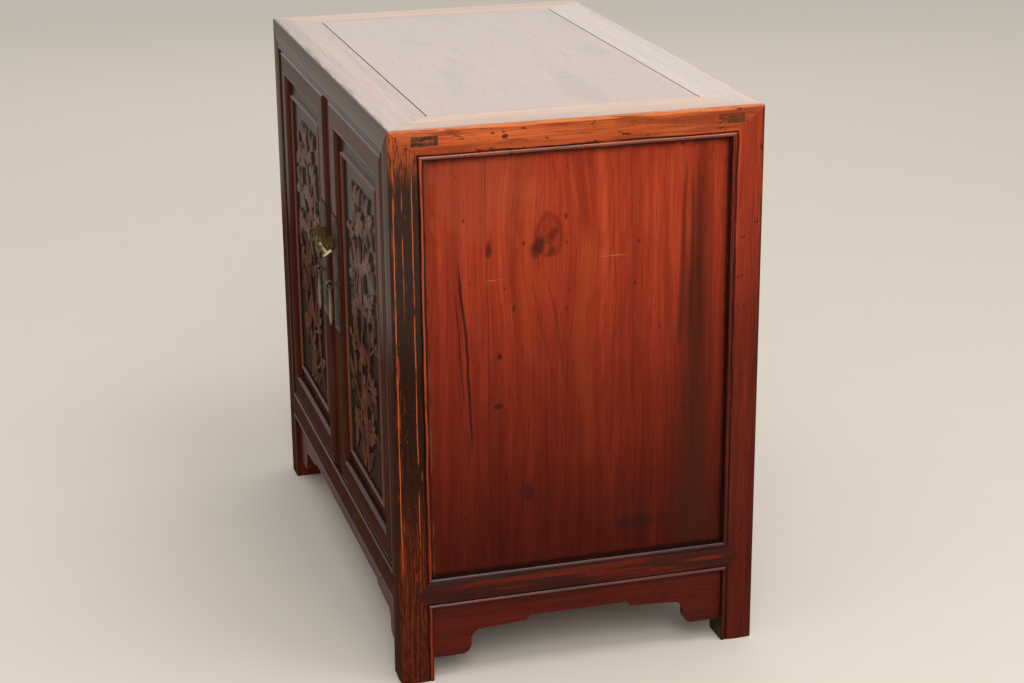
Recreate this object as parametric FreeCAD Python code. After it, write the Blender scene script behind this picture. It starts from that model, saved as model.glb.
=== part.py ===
"""Low two-door cabinet with a mitred frame, carved door panels and brass hardware.

Millimetres, +Z up, +X to the right and the front towards -Y. The origin is on the
floor, in the middle of the space that the cabinet and its hardware take up.
"""

import FreeCAD
import Part

import math
import os

from FreeCAD import Vector

# Carcass
width = 825.0
depth = 510.0
height = 772.0
leg_size = 46.0
top_rail_width = 68.0
top_rail_height = 41.0
lower_rail_top = 151.0
lower_rail_height = 43.0
lower_rail_thickness = 34.0

# Moulding on the faces of legs and rails
edge_radius = 4.9
crown = 0.9
bead_width = 5.5
bead_drop = 0.2
quirk_width = 1.8
quirk_depth = 2.2

# Joints of the frame
joint_gap = 0.2
mitre_gap = 0.15
tenon_wall = 3.0
tenon_end_gap = 0.8
overrun = 10.0
leg_stub_setback = 12.0
leg_stub_size = 16.0
leg_stub_cover = 7.0
top_tenon_width = 35.0
top_tenon_drop = 9.5
top_tenon_thickness = 12.5
top_tenon_recess = 0.5
shoulder_reach = 23.0
shoulder_wall = 1.0
lower_tenon_setback = 15.0
lower_tenon_thickness = 12.0

# Floating panels of the sides and back
panel_recess = 11.0
panel_thickness = 9.0
panel_tongue = 7.0
groove_spare = 1.0

# Top panel, with a shrinkage gap along its front and back edges
top_panel_thickness = 12.0
top_lip_thickness = 3.8
top_tongue_thickness = 4.2
top_tongue = 8.0
top_shrink_gap = 1.8
top_side_gap = 0.3

# Bottom panel
bottom_panel_drop = 9.0
bottom_panel_thickness = 10.0

# Battens that keep the panels flat
batten_width = 40.0
batten_height = 18.0
batten_tenon = 10.0
batten_tenon_inset = 4.0
key_depth = 3.0
key_flare = 1.5
key_shoulder = 8.0
batten_place_share = 0.45
back_batten_share = 0.35

# Shelf
shelf_level = 446.0
shelf_thickness = 16.0
shelf_door_gap = 0.9
bearer_height = 30.0
bearer_thickness = 24.0
bearer_tenon = 12.0
bearer_tenon_inset = 6.0

# Aprons
apron_recess = 8.5
apron_thickness = 12.0
apron_tongue = 5.0
apron_foot_drop = 77.0
apron_shoulder_drop = 42.5
apron_shoulder_rise = 4.0
apron_middle_drop = 32.0
apron_foot_length = 43.0
apron_ogee_length = 24.0
apron_shoulder_length = 67.0
apron_cusp_length = 13.0
apron_curve_share = 0.2

# Doors
door_recess = 1.6
door_thickness = 24.0
door_side_gap = 2.5
door_end_gap = 2.2
stile_width = 37.0
door_top_rail = 36.0
door_bottom_rail = 40.0
door_edge_radius = 5.0
door_tenon_setback = 8.0
door_tenon_thickness = 8.0
door_tenon_margin = 8.0
door_tenon_length = 24.0
pivot_radius = 7.0
pivot_clearance = 0.08
pivot_top_entry = 12.0
pivot_bottom_entry = 10.0
pivot_top_spare = 2.0
pivot_end_gap = 0.3

# Carved door panels
carving_ground = 8.0
door_panel_thickness = 12.0
door_tongue_setback = 2.0
door_tongue_thickness = 5.0
door_tongue = 7.0
door_panel_gap = 0.4
frame_bead_margin = 23.0
frame_bead_width = 5.5
frame_bead_rise = 4.5
frame_bead_round = 2.0

# Centre post between the doors
post_width = 37.0
post_recess = 5.0
post_side_gap = 3.0
post_top_entry = 12.0
post_lift = 8.0
post_play = 0.4
post_stub_length = 6.0
post_stub_width = 20.0
post_stub_thickness = 9.0

# Brass plates and their nails
plate_level = 479.0
plate_height = 174.0
plate_thickness = 1.2
plate_seat_gap = 0.1
plate_wrap_angle = 55.0
nail_head_radius = 2.2
nail_head_rise = 1.1
nail_shank_radius = 0.9
nail_length = 10.0
nail_hole_gap = 0.1
nail_side_margin = 12.0
nail_end_margin = 7.0

# Eye plates and the lock pin
eye_level = 520.0
eye_inset = 6.0
eye_reach = 24.0
eye_height = 20.0
eye_thickness = 3.2
eye_corner_radius = 2.5
eye_hole_radius = 4.0
eye_hole_setback = 8.0
eye_tang_height = 8.0
tang_length = 18.0
pin_radius = 2.5
pin_play = 0.3
pin_length = 62.5
pin_rest_entry = 18.0
pin_head_radius = 2.8
pin_head_length = 14.0
pin_head_tilt = 35.0

# Pulls and their staples
staple_level = 462.0
staple_stand = 8.5
staple_ring_radius = 5.5
staple_wire_radius = 1.6
pull_ring_radius = 5.6
pull_wire_radius = 1.5
pull_play = 0.3
pull_drop_length = 48.0
pull_drop_width = 17.0
pull_neck_width = 5.0
pull_drop_thickness = 2.4
pull_belly_share = 0.68
pull_curve_share = 0.06
pull_tip_share = 0.2

# Places that follow from the sizes
hardware_reach = eye_reach + plate_thickness + plate_seat_gap - door_recess
left_x = -width / 2
front_y = -(depth - hardware_reach) / 2
back_y = front_y + depth
middle_y = (front_y + back_y) / 2
top_rail_under = height - top_rail_height
lower_rail_under = lower_rail_top - lower_rail_height
groove_depth = panel_tongue + groove_spare
door_face = front_y + door_recess
door_back = door_face + door_thickness
door_out = left_x + leg_size + door_side_gap
door_in = -post_width / 2 - post_side_gap
door_low = lower_rail_top + door_end_gap
door_high = top_rail_under - door_end_gap
pivot_x = door_out + door_thickness / 2
pivot_y = door_face + door_thickness / 2
plate_front = door_face - plate_thickness - plate_seat_gap
stile_middle = door_in - stile_width / 2
eye_x = door_in - eye_inset
pin_y = plate_front - eye_reach + eye_hole_setback
pin_level = eye_level - eye_hole_radius + pin_radius + pin_play

ALONG_X = Vector(1, 0, 0)
ALONG_Y = Vector(0, 1, 0)
UPWARDS = Vector(0, 0, 1)
ORIGIN = Vector(0, 0, 0)
SIDE_ANGLES = {"front": 0, "right": 90, "back": 180, "left": 270}


def block(x_span, y_span, z_span):
    """Box between three pairs of limits."""
    low = Vector(min(x_span), min(y_span), min(z_span))
    high = Vector(max(x_span), max(y_span), max(z_span))
    size = high - low
    return Part.makeBox(size.x, size.y, size.z, low)


def grown(span, gap):
    """A pair of limits moved apart by a gap on both sides."""
    return (min(span) - gap, max(span) + gap)


def outline_face(start, steps, place):
    """Face on a closed outline of lines and arcs.

    A step is an end point, or a middle point and an end point of an arc, and
    place turns its two numbers into a point in space.
    """
    edges = []
    here = start
    for step in steps:
        spots = [place(*spot) for spot in (here, *step)]
        if len(spots) > 2:
            edges.append(Part.Arc(*spots).toShape())
        else:
            edges.append(Part.LineSegment(*spots).toShape())
        here = step[-1]
    return Part.Face(Part.Wire(edges))


def straight_steps(points):
    """Steps along straight lines from point to point."""
    return [(point,) for point in points]


def bulged(first, last, share):
    """Arc step that leaves the chord between two points by a share of its length."""
    across = (first[1] - last[1], last[0] - first[0])
    middle = [(a + b) / 2 + c * share for a, b, c in zip(first, last, across)]
    return (tuple(middle), last)


def backwards(start, steps):
    """The same run of steps from its end to its start."""
    ends = [start] + [step[-1] for step in steps]
    turned_steps = []
    for index in range(len(steps) - 1, -1, -1):
        turned_steps.append((*steps[index][:-1], ends[index]))
    return ends[-1], turned_steps


def swapped(step):
    """A step with the two numbers of each point exchanged."""
    return tuple((second, first) for first, second in step)


def moulded_run(first, last, bead_first):
    """Run across a moulded face, in points of way along and depth.

    The face is crowned and has a bead along its last edge and, where asked,
    along its first edge too.
    """
    start = (first, crown)
    crown_first = first
    steps = []
    if bead_first:
        start = (first, quirk_depth)
        bead_end = first + bead_width
        crown_first = bead_end + quirk_width
        steps.append(((first + bead_width / 2, bead_drop), (bead_end, quirk_depth)))
        steps.append(((crown_first, crown),))
    bead_start = last - bead_width
    crown_last = bead_start - quirk_width
    steps.append((((crown_first + crown_last) / 2, 0), (crown_last, crown)))
    steps.append(((bead_start, quirk_depth),))
    steps.append(((last - bead_width / 2, bead_drop), (last, quirk_depth)))
    return start, steps


def mitre_wedge(corner, own, other, slope):
    """Wedge at a corner that a mitre takes off a member.

    It holds what is nearer to the corner along the member's own direction than
    slope times the way along the other member's direction.
    """
    reach = top_rail_width + leg_size
    side = own.cross(other)

    def spot(near, far):
        return corner + own * near + other * far - side * reach

    points = [
        spot(mitre_gap - overrun * slope, -overrun),
        spot(mitre_gap + reach * slope, reach),
        spot(-reach, reach),
        spot(-reach, -overrun),
    ]
    return Part.Face(Part.makePolygon(points + points[:1])).extrude(side * reach * 2)


def to_right(shape):
    """Mirror image of a left-hand piece on the right-hand side."""
    return shape.mirror(ORIGIN, ALONG_X)


def to_back(shape):
    """Mirror image of a front piece at the back."""
    return shape.mirror(Vector(0, middle_y, 0), ALONG_Y)


def turned_to(side, shape):
    """A front piece of a carcass centred on the origin, moved to the side it belongs to."""
    moved = shape.copy()
    moved.rotate(ORIGIN, UPWARDS, SIDE_ANGLES[side])
    moved.translate(Vector(0, middle_y, 0))
    return moved


def side_sizes(side):
    """Length of a side of the carcass, and the distance of its face from the middle."""
    if side in ("front", "back"):
        return width, depth / 2
    return depth, width / 2


def both_ends(shape):
    """A tool at the left end of a side together with its mirror image at the right end."""
    return [shape, to_right(shape)]


def leg_shape():
    """Front left leg: moulded on its outer faces, mitred on top, with a stub tenon."""
    start, front = moulded_run(edge_radius, leg_size, False)
    side_start, side = backwards(start, front)
    nose = edge_radius - (edge_radius - crown) * math.sqrt(0.5)
    inner_corner = (leg_size, leg_size)
    steps = front + straight_steps([inner_corner, side_start[::-1]])
    steps += [swapped(step) for step in side]
    steps.append(((nose, nose), start))
    section = outline_face(start, steps, lambda p, q: Vector(left_x + p, front_y + q, 0))
    leg = section.extrude(UPWARDS * height)
    corner = Vector(left_x, front_y, height)
    slope = top_rail_height / leg_size
    for other in (ALONG_X, ALONG_Y):
        leg = leg.cut(mitre_wedge(corner, -UPWARDS, other, slope))
    return leg.fuse(leg_stub(0, 0)).removeSplitter()


def leg_stub(gap, end_gap):
    """Stub tenon on top of the front left leg, or with gaps the socket for it."""
    near_x = left_x + leg_stub_setback
    near_y = front_y + leg_stub_setback
    top = height - leg_stub_cover + end_gap
    return block(
        grown((near_x, near_x + leg_stub_size), gap),
        grown((near_y, near_y + leg_stub_size), gap),
        (top_rail_under, top),
    )


def top_tenon(gap):
    """Through tenon at the left end of the front top rail, or the slot for it."""
    near_y = front_y + leg_stub_setback + leg_stub_size + tenon_wall
    high = height - top_tenon_drop
    recess = -overrun if gap else top_tenon_recess
    return block(
        (left_x + recess, left_x + top_rail_width + overrun),
        grown((near_y, near_y + top_tenon_width), gap),
        grown((high - top_tenon_thickness, high), gap),
    )


def top_rail_shape(side):
    """Top rail of one side: moulded face, and mitred to its neighbours and the legs."""
    run, reach = side_sizes(side)
    start, face = moulded_run(edge_radius, top_rail_height, False)
    nose_share = 1 - math.sqrt(0.5)
    nose = (crown + (edge_radius - crown) * nose_share, edge_radius * nose_share)
    steps = [swapped(step) for step in face]
    steps += straight_steps([(top_rail_width, top_rail_height), (top_rail_width, 0), (edge_radius, 0)])
    steps.append((nose, start[::-1]))

    def place(p, q):
        return Vector(-run / 2, p - reach, height - q)

    rail = outline_face(start[::-1], steps, place).extrude(ALONG_X * run)
    corner = Vector(-run / 2, -reach, height)
    for other, slope in ((ALONG_Y, 1), (-UPWARDS, leg_size / top_rail_height)):
        for wedge in both_ends(mitre_wedge(corner, ALONG_X, other, slope)):
            rail = rail.cut(wedge)
    return turned_to(side, rail)


def shoulder_prism(run, reach, gap):
    """Pointed shoulder at the left end of a lower rail, or the notch for it in the leg."""
    inner = -run / 2 + leg_size
    base = inner + joint_gap
    centre = lower_rail_top - lower_rail_height / 2
    face = -reach - overrun
    points = [
        Vector(base, face, lower_rail_top + gap),
        Vector(inner - shoulder_reach - gap, face, centre),
        Vector(base, face, lower_rail_under - gap),
    ]
    deep = panel_recess - shoulder_wall + gap + overrun
    return Part.Face(Part.makePolygon(points + points[:1])).extrude(ALONG_Y * deep)


def lower_tenon(run, reach, gap, end_gap):
    """Blind tenon at the left end of a lower rail, or its mortise."""
    inner = -run / 2 + leg_size
    length = leg_size - lower_tenon_setback - lower_tenon_thickness - tenon_wall
    near_y = -reach + lower_tenon_setback
    low = lower_rail_under + apron_tongue + tenon_wall
    high = lower_rail_top - groove_depth - tenon_wall
    return block(
        (inner - length - end_gap, inner + overrun),
        grown((near_y, near_y + lower_tenon_thickness), gap),
        grown((low, high), gap),
    )


def lower_rail_shape(side):
    """Lower rail of one side: beads on both edges, pointed shoulders and blind tenons."""
    run, reach = side_sizes(side)
    start, face = moulded_run(0, lower_rail_height, True)
    steps = [swapped(step) for step in face]
    back_low = (lower_rail_thickness, lower_rail_height)
    back_high = (lower_rail_thickness, 0)
    steps += straight_steps([back_low, back_high, start[::-1]])

    def place(p, q):
        return Vector(-run / 2, p - reach, lower_rail_top - q)

    bar = outline_face(start[::-1], steps, place).extrude(ALONG_X * run)
    inner = run / 2 - leg_size - joint_gap
    rail = bar.common(block((-inner, inner), grown((-reach, reach), overrun), (0, height)))
    for shoulder in both_ends(shoulder_prism(run, reach, 0)):
        rail = rail.fuse(bar.common(shoulder))
    for tenon in both_ends(lower_tenon(run, reach, 0, 0)):
        rail = rail.fuse(tenon)
    return turned_to(side, rail.removeSplitter())


def apron_outline(run):
    """Outline of an apron's front: feet at the legs, raised shoulders and a raised middle."""
    inner = run / 2 - leg_size
    end = inner + apron_tongue
    foot = inner - apron_foot_length
    ogee = foot - apron_ogee_length
    shoulder = ogee - apron_shoulder_length
    cusp = shoulder - apron_cusp_length
    foot_level = lower_rail_under - apron_foot_drop
    shoulder_level = lower_rail_under - apron_shoulder_drop
    middle_level = lower_rail_under - apron_middle_drop
    turn = ((foot + ogee) / 2, (foot_level + shoulder_level) / 2)
    start = (0, middle_level)
    cusp_level = shoulder_level + apron_shoulder_rise
    half = straight_steps([(cusp, middle_level)])
    half.append(bulged((cusp, middle_level), (shoulder, cusp_level), apron_curve_share))
    half += straight_steps([(ogee, shoulder_level)])
    half.append(bulged((ogee, shoulder_level), turn, apron_curve_share))
    half.append(bulged(turn, (foot, foot_level), -apron_curve_share))
    tongue_end = inner - joint_gap
    top = lower_rail_under + apron_tongue
    ends = [(end, foot_level), (end, lower_rail_under), (tongue_end, lower_rail_under), (tongue_end, top)]
    half += straight_steps(ends)
    far_start, far_half = backwards(start, half)
    mirrored = [tuple((-first, second) for first, second in step) for step in far_half]
    return start, half + straight_steps([(-far_start[0], far_start[1])]) + mirrored


def apron_shape(side):
    """Apron under a lower rail, held in grooves of the rail and the legs."""
    run, reach = side_sizes(side)
    start, steps = apron_outline(run)
    near_y = -reach + apron_recess
    face = outline_face(start, steps, lambda a, z: Vector(a, near_y, z))
    return turned_to(side, face.extrude(ALONG_Y * apron_thickness))


def apron_grooves(side):
    """Grooves for an apron: one along the lower rail and one down each leg."""
    run, reach = side_sizes(side)
    inner = run / 2 - leg_size
    deep = grown((-reach + apron_recess, -reach + apron_recess + apron_thickness), joint_gap)
    top = lower_rail_under + apron_tongue + joint_gap
    along = block((-inner, inner), deep, (lower_rail_under - overrun, top))
    foot_level = lower_rail_under - apron_foot_drop
    end = inner + apron_tongue + joint_gap
    legs = block((-end, end), deep, (foot_level - joint_gap, lower_rail_under + joint_gap))
    return turned_to(side, along), turned_to(side, legs)


def panel_space(side, side_gap, edge_gap):
    """Room that a side or back panel takes, or with gaps the grooves for it."""
    run, reach = side_sizes(side)
    half = run / 2 - leg_size + panel_tongue
    near_y = -reach + panel_recess
    levels = (lower_rail_top - panel_tongue, top_rail_under + panel_tongue)
    room = block(
        grown((-half, half), edge_gap),
        grown((near_y, near_y + panel_thickness), side_gap),
        grown(levels, edge_gap),
    )
    return turned_to(side, room)


def key_prism(length, gap):
    """Dovetail key along a batten, in the batten's own frame, or the slot for it."""
    near = batten_width / 2 - key_shoulder
    far = near + key_flare
    points = [
        Vector(-length / 2, -near - gap, -gap),
        Vector(-length / 2, near + gap, -gap),
        Vector(-length / 2, far + gap, key_depth + gap),
        Vector(-length / 2, -far - gap, key_depth + gap),
    ]
    return Part.Face(Part.makePolygon(points + points[:1])).extrude(ALONG_X * length)


def batten_shape(length, tenon):
    """Batten along X below its panel's face at level zero, keyed into the panel."""
    half_width = batten_width / 2
    body = block((-length / 2, length / 2), (-half_width, half_width), (-batten_height, 0))
    if tenon:
        body = body.fuse(batten_tenons(length, tenon, 0))
    return body.fuse(key_prism(length, 0)).removeSplitter()


def batten_tenons(length, tenon, gap):
    """Bar that forms the tenons at both ends of a batten, or their mortises."""
    half_length = length / 2 + tenon
    half_width = batten_width / 2 - batten_tenon_inset
    levels = (-batten_height + batten_tenon_inset, -batten_tenon_inset)
    end_gap = tenon_end_gap if gap else 0
    return block(
        grown((-half_length, half_length), end_gap),
        grown((-half_width, half_width), gap),
        grown(levels, gap),
    )


def lay_batten(shape, x, level):
    """A batten turned to run from front to back at a place and a level."""
    laid = shape.copy()
    laid.rotate(ORIGIN, UPWARDS, 90)
    laid.translate(Vector(x, middle_y, level))
    return laid


def stand_batten(shape, y, level):
    """A batten turned to lie against the back panel."""
    stood = shape.copy()
    stood.rotate(ORIGIN, ALONG_X, -90)
    stood.translate(Vector(0, y, level))
    return stood


def framed_battens(names, inner_depth, level, nodes, panel, rails):
    """Two battens from front to back under a panel, cut into the panel and the rails."""
    places = (-width / 2 * batten_place_share, width / 2 * batten_place_share)
    length = inner_depth - joint_gap * 2
    for name, x in zip(names, places):
        nodes[name] = lay_batten(batten_shape(length, batten_tenon), x, level)
        slot = lay_batten(key_prism(length + overrun, joint_gap), x, level)
        nodes[panel] = nodes[panel].cut(slot)
        mortises = lay_batten(batten_tenons(length, batten_tenon, joint_gap), x, level)
        for rail in rails:
            nodes[rail] = nodes[rail].cut(mortises)


def top_panel_shape():
    """Top panel: lip flush with the frame, tongue in the grooves, and a thinner underside."""
    half_x = width / 2 - top_rail_width
    half_y = depth / 2 - top_rail_width
    lip_under = height - top_lip_thickness
    tongue_under = lip_under - top_tongue_thickness
    y_middle = Vector(0, middle_y, 0)

    def layer(x_inset, y_inset, levels):
        shape = block(grown((0, 0), half_x - x_inset), grown((0, 0), half_y - y_inset), levels)
        shape.translate(y_middle)
        return shape

    lip = layer(top_side_gap, top_shrink_gap, (height, lip_under))
    tongue = layer(-top_tongue, -top_tongue, (lip_under, tongue_under))
    under = layer(groove_spare, groove_spare, (tongue_under, height - top_panel_thickness))
    groove_reach = -top_tongue - groove_spare
    groove = layer(groove_reach, groove_reach, grown((lip_under, tongue_under), joint_gap))
    return lip.fuse(tongue).fuse(under).removeSplitter(), groove


def notched_board(half_x, y_span, levels):
    """Board inside the carcass with its corners cut out round the legs."""
    board = block((-half_x, half_x), y_span, levels)
    notch = leg_size + joint_gap
    corner = block((left_x, left_x + notch), (front_y, front_y + notch), grown(levels, overrun))
    for front in both_ends(corner):
        board = board.cut(front).cut(to_back(front))
    return board


def bottom_panel_shape():
    """Floor of the cabinet, held in grooves of the four lower rails, and those grooves."""
    inset = lower_rail_thickness - panel_tongue
    high = lower_rail_top - bottom_panel_drop
    levels = (high - bottom_panel_thickness, high)
    board = notched_board(width / 2 - inset, (front_y + inset, back_y - inset), levels)
    deep = inset - groove_spare
    groove = block(
        grown((0, 0), width / 2 - deep),
        (front_y + deep, back_y - deep),
        grown(levels, joint_gap),
    )
    return board, groove


def shelf_shape():
    """Shelf that rests on the bearers, from just behind the doors to the back panel."""
    inset = panel_recess + panel_thickness + groove_spare
    y_span = (door_back + shelf_door_gap, back_y - inset)
    return notched_board(width / 2 - inset, y_span, (shelf_level - shelf_thickness, shelf_level))


def bearer_shape(side, gap):
    """Shelf bearer between the legs of one side, or with a gap the mortises for it."""
    run, reach = side_sizes(side)
    half = run / 2 - leg_size
    near_y = -reach + panel_recess + panel_thickness + joint_gap
    deep = (near_y, near_y + bearer_thickness)
    high = shelf_level - shelf_thickness
    levels = (high - bearer_height, high)
    tenon_half = half + bearer_tenon
    end_gap = tenon_end_gap if gap else 0
    tenons = block(
        grown((-tenon_half, tenon_half), end_gap),
        grown(deep, gap - bearer_tenon_inset),
        grown(levels, gap - bearer_tenon_inset),
    )
    if gap:
        return turned_to(side, tenons)
    body = block((joint_gap - half, half - joint_gap), deep, levels)
    return turned_to(side, body.fuse(tenons).removeSplitter())


def post_shape():
    """Centre post: its top slides in the top rail, its stub stands in the lower rail."""
    half = post_width / 2
    deep = (door_face + post_recess, door_back)
    body = block((-half, half), deep, (lower_rail_top + pivot_end_gap, top_rail_under + post_top_entry))
    return body.fuse(post_stub(0)).removeSplitter()


def post_stub(gap):
    """Stub tenon under the centre post, or its mortise."""
    half = post_stub_width / 2
    centre = (door_face + post_recess + door_back) / 2
    deep = (centre - post_stub_thickness / 2, centre + post_stub_thickness / 2)
    low = lower_rail_top - post_stub_length - gap
    return block(grown((-half, half), gap), grown(deep, gap), (low, lower_rail_top + pivot_end_gap + gap))


def post_slot():
    """Slot in the front top rail that the centre post lifts into."""
    half = post_width / 2 + post_play
    deep = grown((door_face + post_recess, door_back), post_play)
    high = top_rail_under + post_top_entry + post_lift + groove_spare
    return block((-half, half), deep, (top_rail_under - overrun, high))


def pivot_shape(gap, top_spare, end_gap):
    """Round wooden pivots at the ends of the left door's hinge stile, or with gaps their sockets."""
    low = lower_rail_top - pivot_bottom_entry - end_gap
    high = top_rail_under + pivot_top_entry + top_spare
    root_low = door_low + door_bottom_rail
    root_high = door_high - door_top_rail
    radius = pivot_radius + gap
    lower = Part.makeCylinder(radius, root_low - low, Vector(pivot_x, pivot_y, low))
    upper = Part.makeCylinder(radius, high - root_high, Vector(pivot_x, pivot_y, root_high))
    return [lower, upper]


def door_envelope():
    """Space of the left door: its outer edge is half round about the pivots."""
    body = block((pivot_x, door_in), (door_face, door_back), (door_low, door_high))
    rise = door_high - door_low
    edge = Part.makeCylinder(door_thickness / 2, rise, Vector(pivot_x, pivot_y, door_low))
    return body.fuse(edge)


def door_bar_section(size, place):
    """Section of a door stile or rail with both front edges rounded."""
    radius = door_edge_radius
    nose = radius * (1 - math.sqrt(0.5))
    steps = straight_steps([(0, radius)])
    steps.append(((nose, nose), (radius, 0)))
    steps += straight_steps([(size - radius, 0)])
    steps.append(((size - nose, nose), (size, radius)))
    steps += straight_steps([(size, door_thickness), (0, door_thickness)])
    return outline_face((0, door_thickness), steps, place)


def door_corners():
    """Corners of the left door: the corner, its inward directions and its rail's height."""
    corners = []
    for x, inward in ((door_out, ALONG_X), (door_in, -ALONG_X)):
        corners.append((Vector(x, door_face, door_high), inward, -UPWARDS, door_top_rail))
        corners.append((Vector(x, door_face, door_low), inward, UPWARDS, door_bottom_rail))
    return corners


def door_tenon(corner, inward, vertical, rail, gap):
    """Tenon of a door rail in the stile at one corner, or its mortise."""
    setback = Vector(0, door_tenon_setback, 0)
    first = inward * (stile_width - door_tenon_length) + vertical * door_tenon_margin
    tenon_rise = rail - door_tenon_margin - door_tongue - tenon_wall
    last = inward * (stile_width + overrun) + vertical * (door_tenon_margin + tenon_rise)
    low = corner + setback + first
    high = corner + setback + last + Vector(0, door_tenon_thickness, 0)
    return block(grown((low.x, high.x), gap), grown((low.y, high.y), gap), grown((low.z, high.z), gap))


def door_frame():
    """Stiles and rails of the left door, mitred and tenoned at the corners."""
    rise = UPWARDS * (door_high - door_low)
    across = ALONG_X * (door_in - door_out)
    stile = door_bar_section(stile_width, lambda s, d: Vector(door_out + s, door_face + d, door_low))
    hinge_stile = stile.extrude(rise)
    lock_stile = hinge_stile.copy()
    lock_stile.translate(ALONG_X * (door_in - door_out - stile_width))

    def top_place(s, d):
        return Vector(door_out, door_face + d, door_high - s)

    def bottom_place(s, d):
        return Vector(door_out, door_face + d, door_low + s)

    top_rail = door_bar_section(door_top_rail, top_place).extrude(across)
    bottom_rail = door_bar_section(door_bottom_rail, bottom_place).extrude(across)
    stiles = {door_out: hinge_stile, door_in: lock_stile}
    rails = {door_high: top_rail, door_low: bottom_rail}
    for corner, inward, vertical, size in door_corners():
        slope = stile_width / size
        x = corner.x
        z = corner.z
        tenon = door_tenon(corner, inward, vertical, size, 0)
        mortise = door_tenon(corner, inward, vertical, size, joint_gap)
        rails[z] = rails[z].cut(mitre_wedge(corner, inward, vertical, slope)).fuse(tenon)
        stiles[x] = stiles[x].cut(mitre_wedge(corner, vertical, inward, 1 / slope)).cut(mortise)
    envelope = door_envelope()
    groove = door_panel_tongue(groove_spare, joint_gap)
    pieces = [stiles[door_out], stiles[door_in], rails[door_high], rails[door_low]]
    pieces = [piece.common(envelope).cut(groove).removeSplitter() for piece in pieces]
    for pivot, hole in zip(pivot_shape(0, 0, 0), pivot_shape(joint_gap, 0, 0)):
        pieces[0] = pieces[0].fuse(pivot)
        pieces[2:] = [rail.cut(hole) for rail in pieces[2:]]
    pieces[0] = pieces[0].removeSplitter()
    return pieces


def door_opening(inset):
    """Opening in the left door's frame, made smaller all round by an inset."""
    x_span = (door_out + stile_width + inset, door_in - stile_width - inset)
    z_span = (door_low + door_bottom_rail + inset, door_high - door_top_rail - inset)
    return x_span, z_span


def door_panel_tongue(spare, gap):
    """Tongue all round the left door's panel, or with gaps the grooves for it."""
    x_span, z_span = door_opening(-door_tongue - spare)
    near_y = door_face + carving_ground + door_tongue_setback
    return block(x_span, grown((near_y, near_y + door_tongue_thickness), gap), z_span)


def door_panel_shape():
    """Panel of the left door with the raised bead that frames its carving."""
    x_span, z_span = door_opening(door_panel_gap)
    ground = door_face + carving_ground
    board = block(x_span, (ground, ground + door_panel_thickness), z_span)
    board = board.fuse(door_panel_tongue(0, 0))
    outer_x, outer_z = door_opening(frame_bead_margin)
    inner_x, inner_z = door_opening(frame_bead_margin + frame_bead_width)
    top = ground - frame_bead_rise
    bead = block(outer_x, (top, ground), outer_z)
    bead = bead.cut(block(inner_x, grown((top, ground), overrun), inner_z))
    rims = [edge for edge in bead.Edges if edge.BoundBox.YMax < (top + ground) / 2]
    return board.fuse(bead.makeFillet(frame_bead_round, rims)).removeSplitter()


def plate_shape():
    """Brass plate on the left door's lock stile, bent round the stile's two front edges."""
    near = door_edge_radius
    far = stile_width - door_edge_radius
    inner = door_edge_radius + plate_seat_gap
    outer = inner + plate_thickness
    wrap = math.radians(plate_wrap_angle)

    def bend(centre, hand, radius, angle):
        return (centre + hand * radius * math.sin(angle), door_edge_radius - radius * math.cos(angle))

    start = bend(near, -1, inner, wrap)
    steps = [(bend(near, -1, inner, wrap / 2), bend(near, -1, inner, 0))]
    steps += straight_steps([bend(far, 1, inner, 0)])
    steps.append((bend(far, 1, inner, wrap / 2), bend(far, 1, inner, wrap)))
    steps += straight_steps([bend(far, 1, outer, wrap)])
    steps.append((bend(far, 1, outer, wrap / 2), bend(far, 1, outer, 0)))
    steps += straight_steps([bend(near, -1, outer, 0)])
    steps.append((bend(near, -1, outer, wrap / 2), bend(near, -1, outer, wrap)))
    steps += straight_steps([start])
    low = plate_level - plate_height / 2

    def place(s, d):
        return Vector(door_in - stile_width + s, door_face + d, low)

    return outline_face(start, steps, place).extrude(UPWARDS * plate_height)


def nail_places():
    """Places of the nails near the four corners of the left plate."""
    reach = plate_height / 2 - nail_end_margin
    spread = stile_width / 2 - nail_side_margin
    return [(stile_middle + x * spread, plate_level + z * reach) for x in (-1, 1) for z in (-1, 1)]


def nail_shape(x, z):
    """Nail with a low domed head, its shank through the plate into the stile."""
    dome = (nail_head_radius**2 + nail_head_rise**2) / (nail_head_rise * 2)
    centre = Vector(x, plate_front - nail_head_rise + dome, z)
    ball = Part.makeSphere(dome, centre)
    head = ball.common(block(grown((x, x), dome), (plate_front - dome, plate_front), grown((z, z), dome)))
    return head.fuse(nail_shank(x, z, 0)).removeSplitter()


def nail_shank(x, z, gap):
    """Shank of a nail, or with a gap its hole."""
    return Part.makeCylinder(nail_shank_radius + gap, nail_length + gap, Vector(x, plate_front, z), ALONG_Y)


def eye_shape():
    """Square eye plate of the left door, standing out from the brass plate on a tang."""
    half = eye_height / 2
    front = plate_front - eye_reach
    thick = grown((eye_x, eye_x), eye_thickness / 2)
    body = block(thick, (front, plate_front), grown((eye_level, eye_level), half))
    corners = [
        edge
        for edge in body.Edges
        if edge.BoundBox.YMax < plate_front - eye_reach / 2 and edge.BoundBox.XLength > eye_thickness / 2
    ]
    body = body.makeFillet(eye_corner_radius, corners)
    hole = Part.makeCylinder(
        eye_hole_radius,
        eye_thickness + overrun,
        Vector(eye_x - (eye_thickness + overrun) / 2, pin_y, eye_level),
        ALONG_X,
    )
    return body.cut(hole).fuse(eye_tang(0)).removeSplitter()


def eye_tang(gap):
    """Tang of the left eye through the plate into the stile, or its slot."""
    return block(
        grown((eye_x, eye_x), eye_thickness / 2 + gap),
        (plate_front, plate_front + tang_length + gap),
        grown((eye_level, eye_level), eye_tang_height / 2 + gap),
    )


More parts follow.
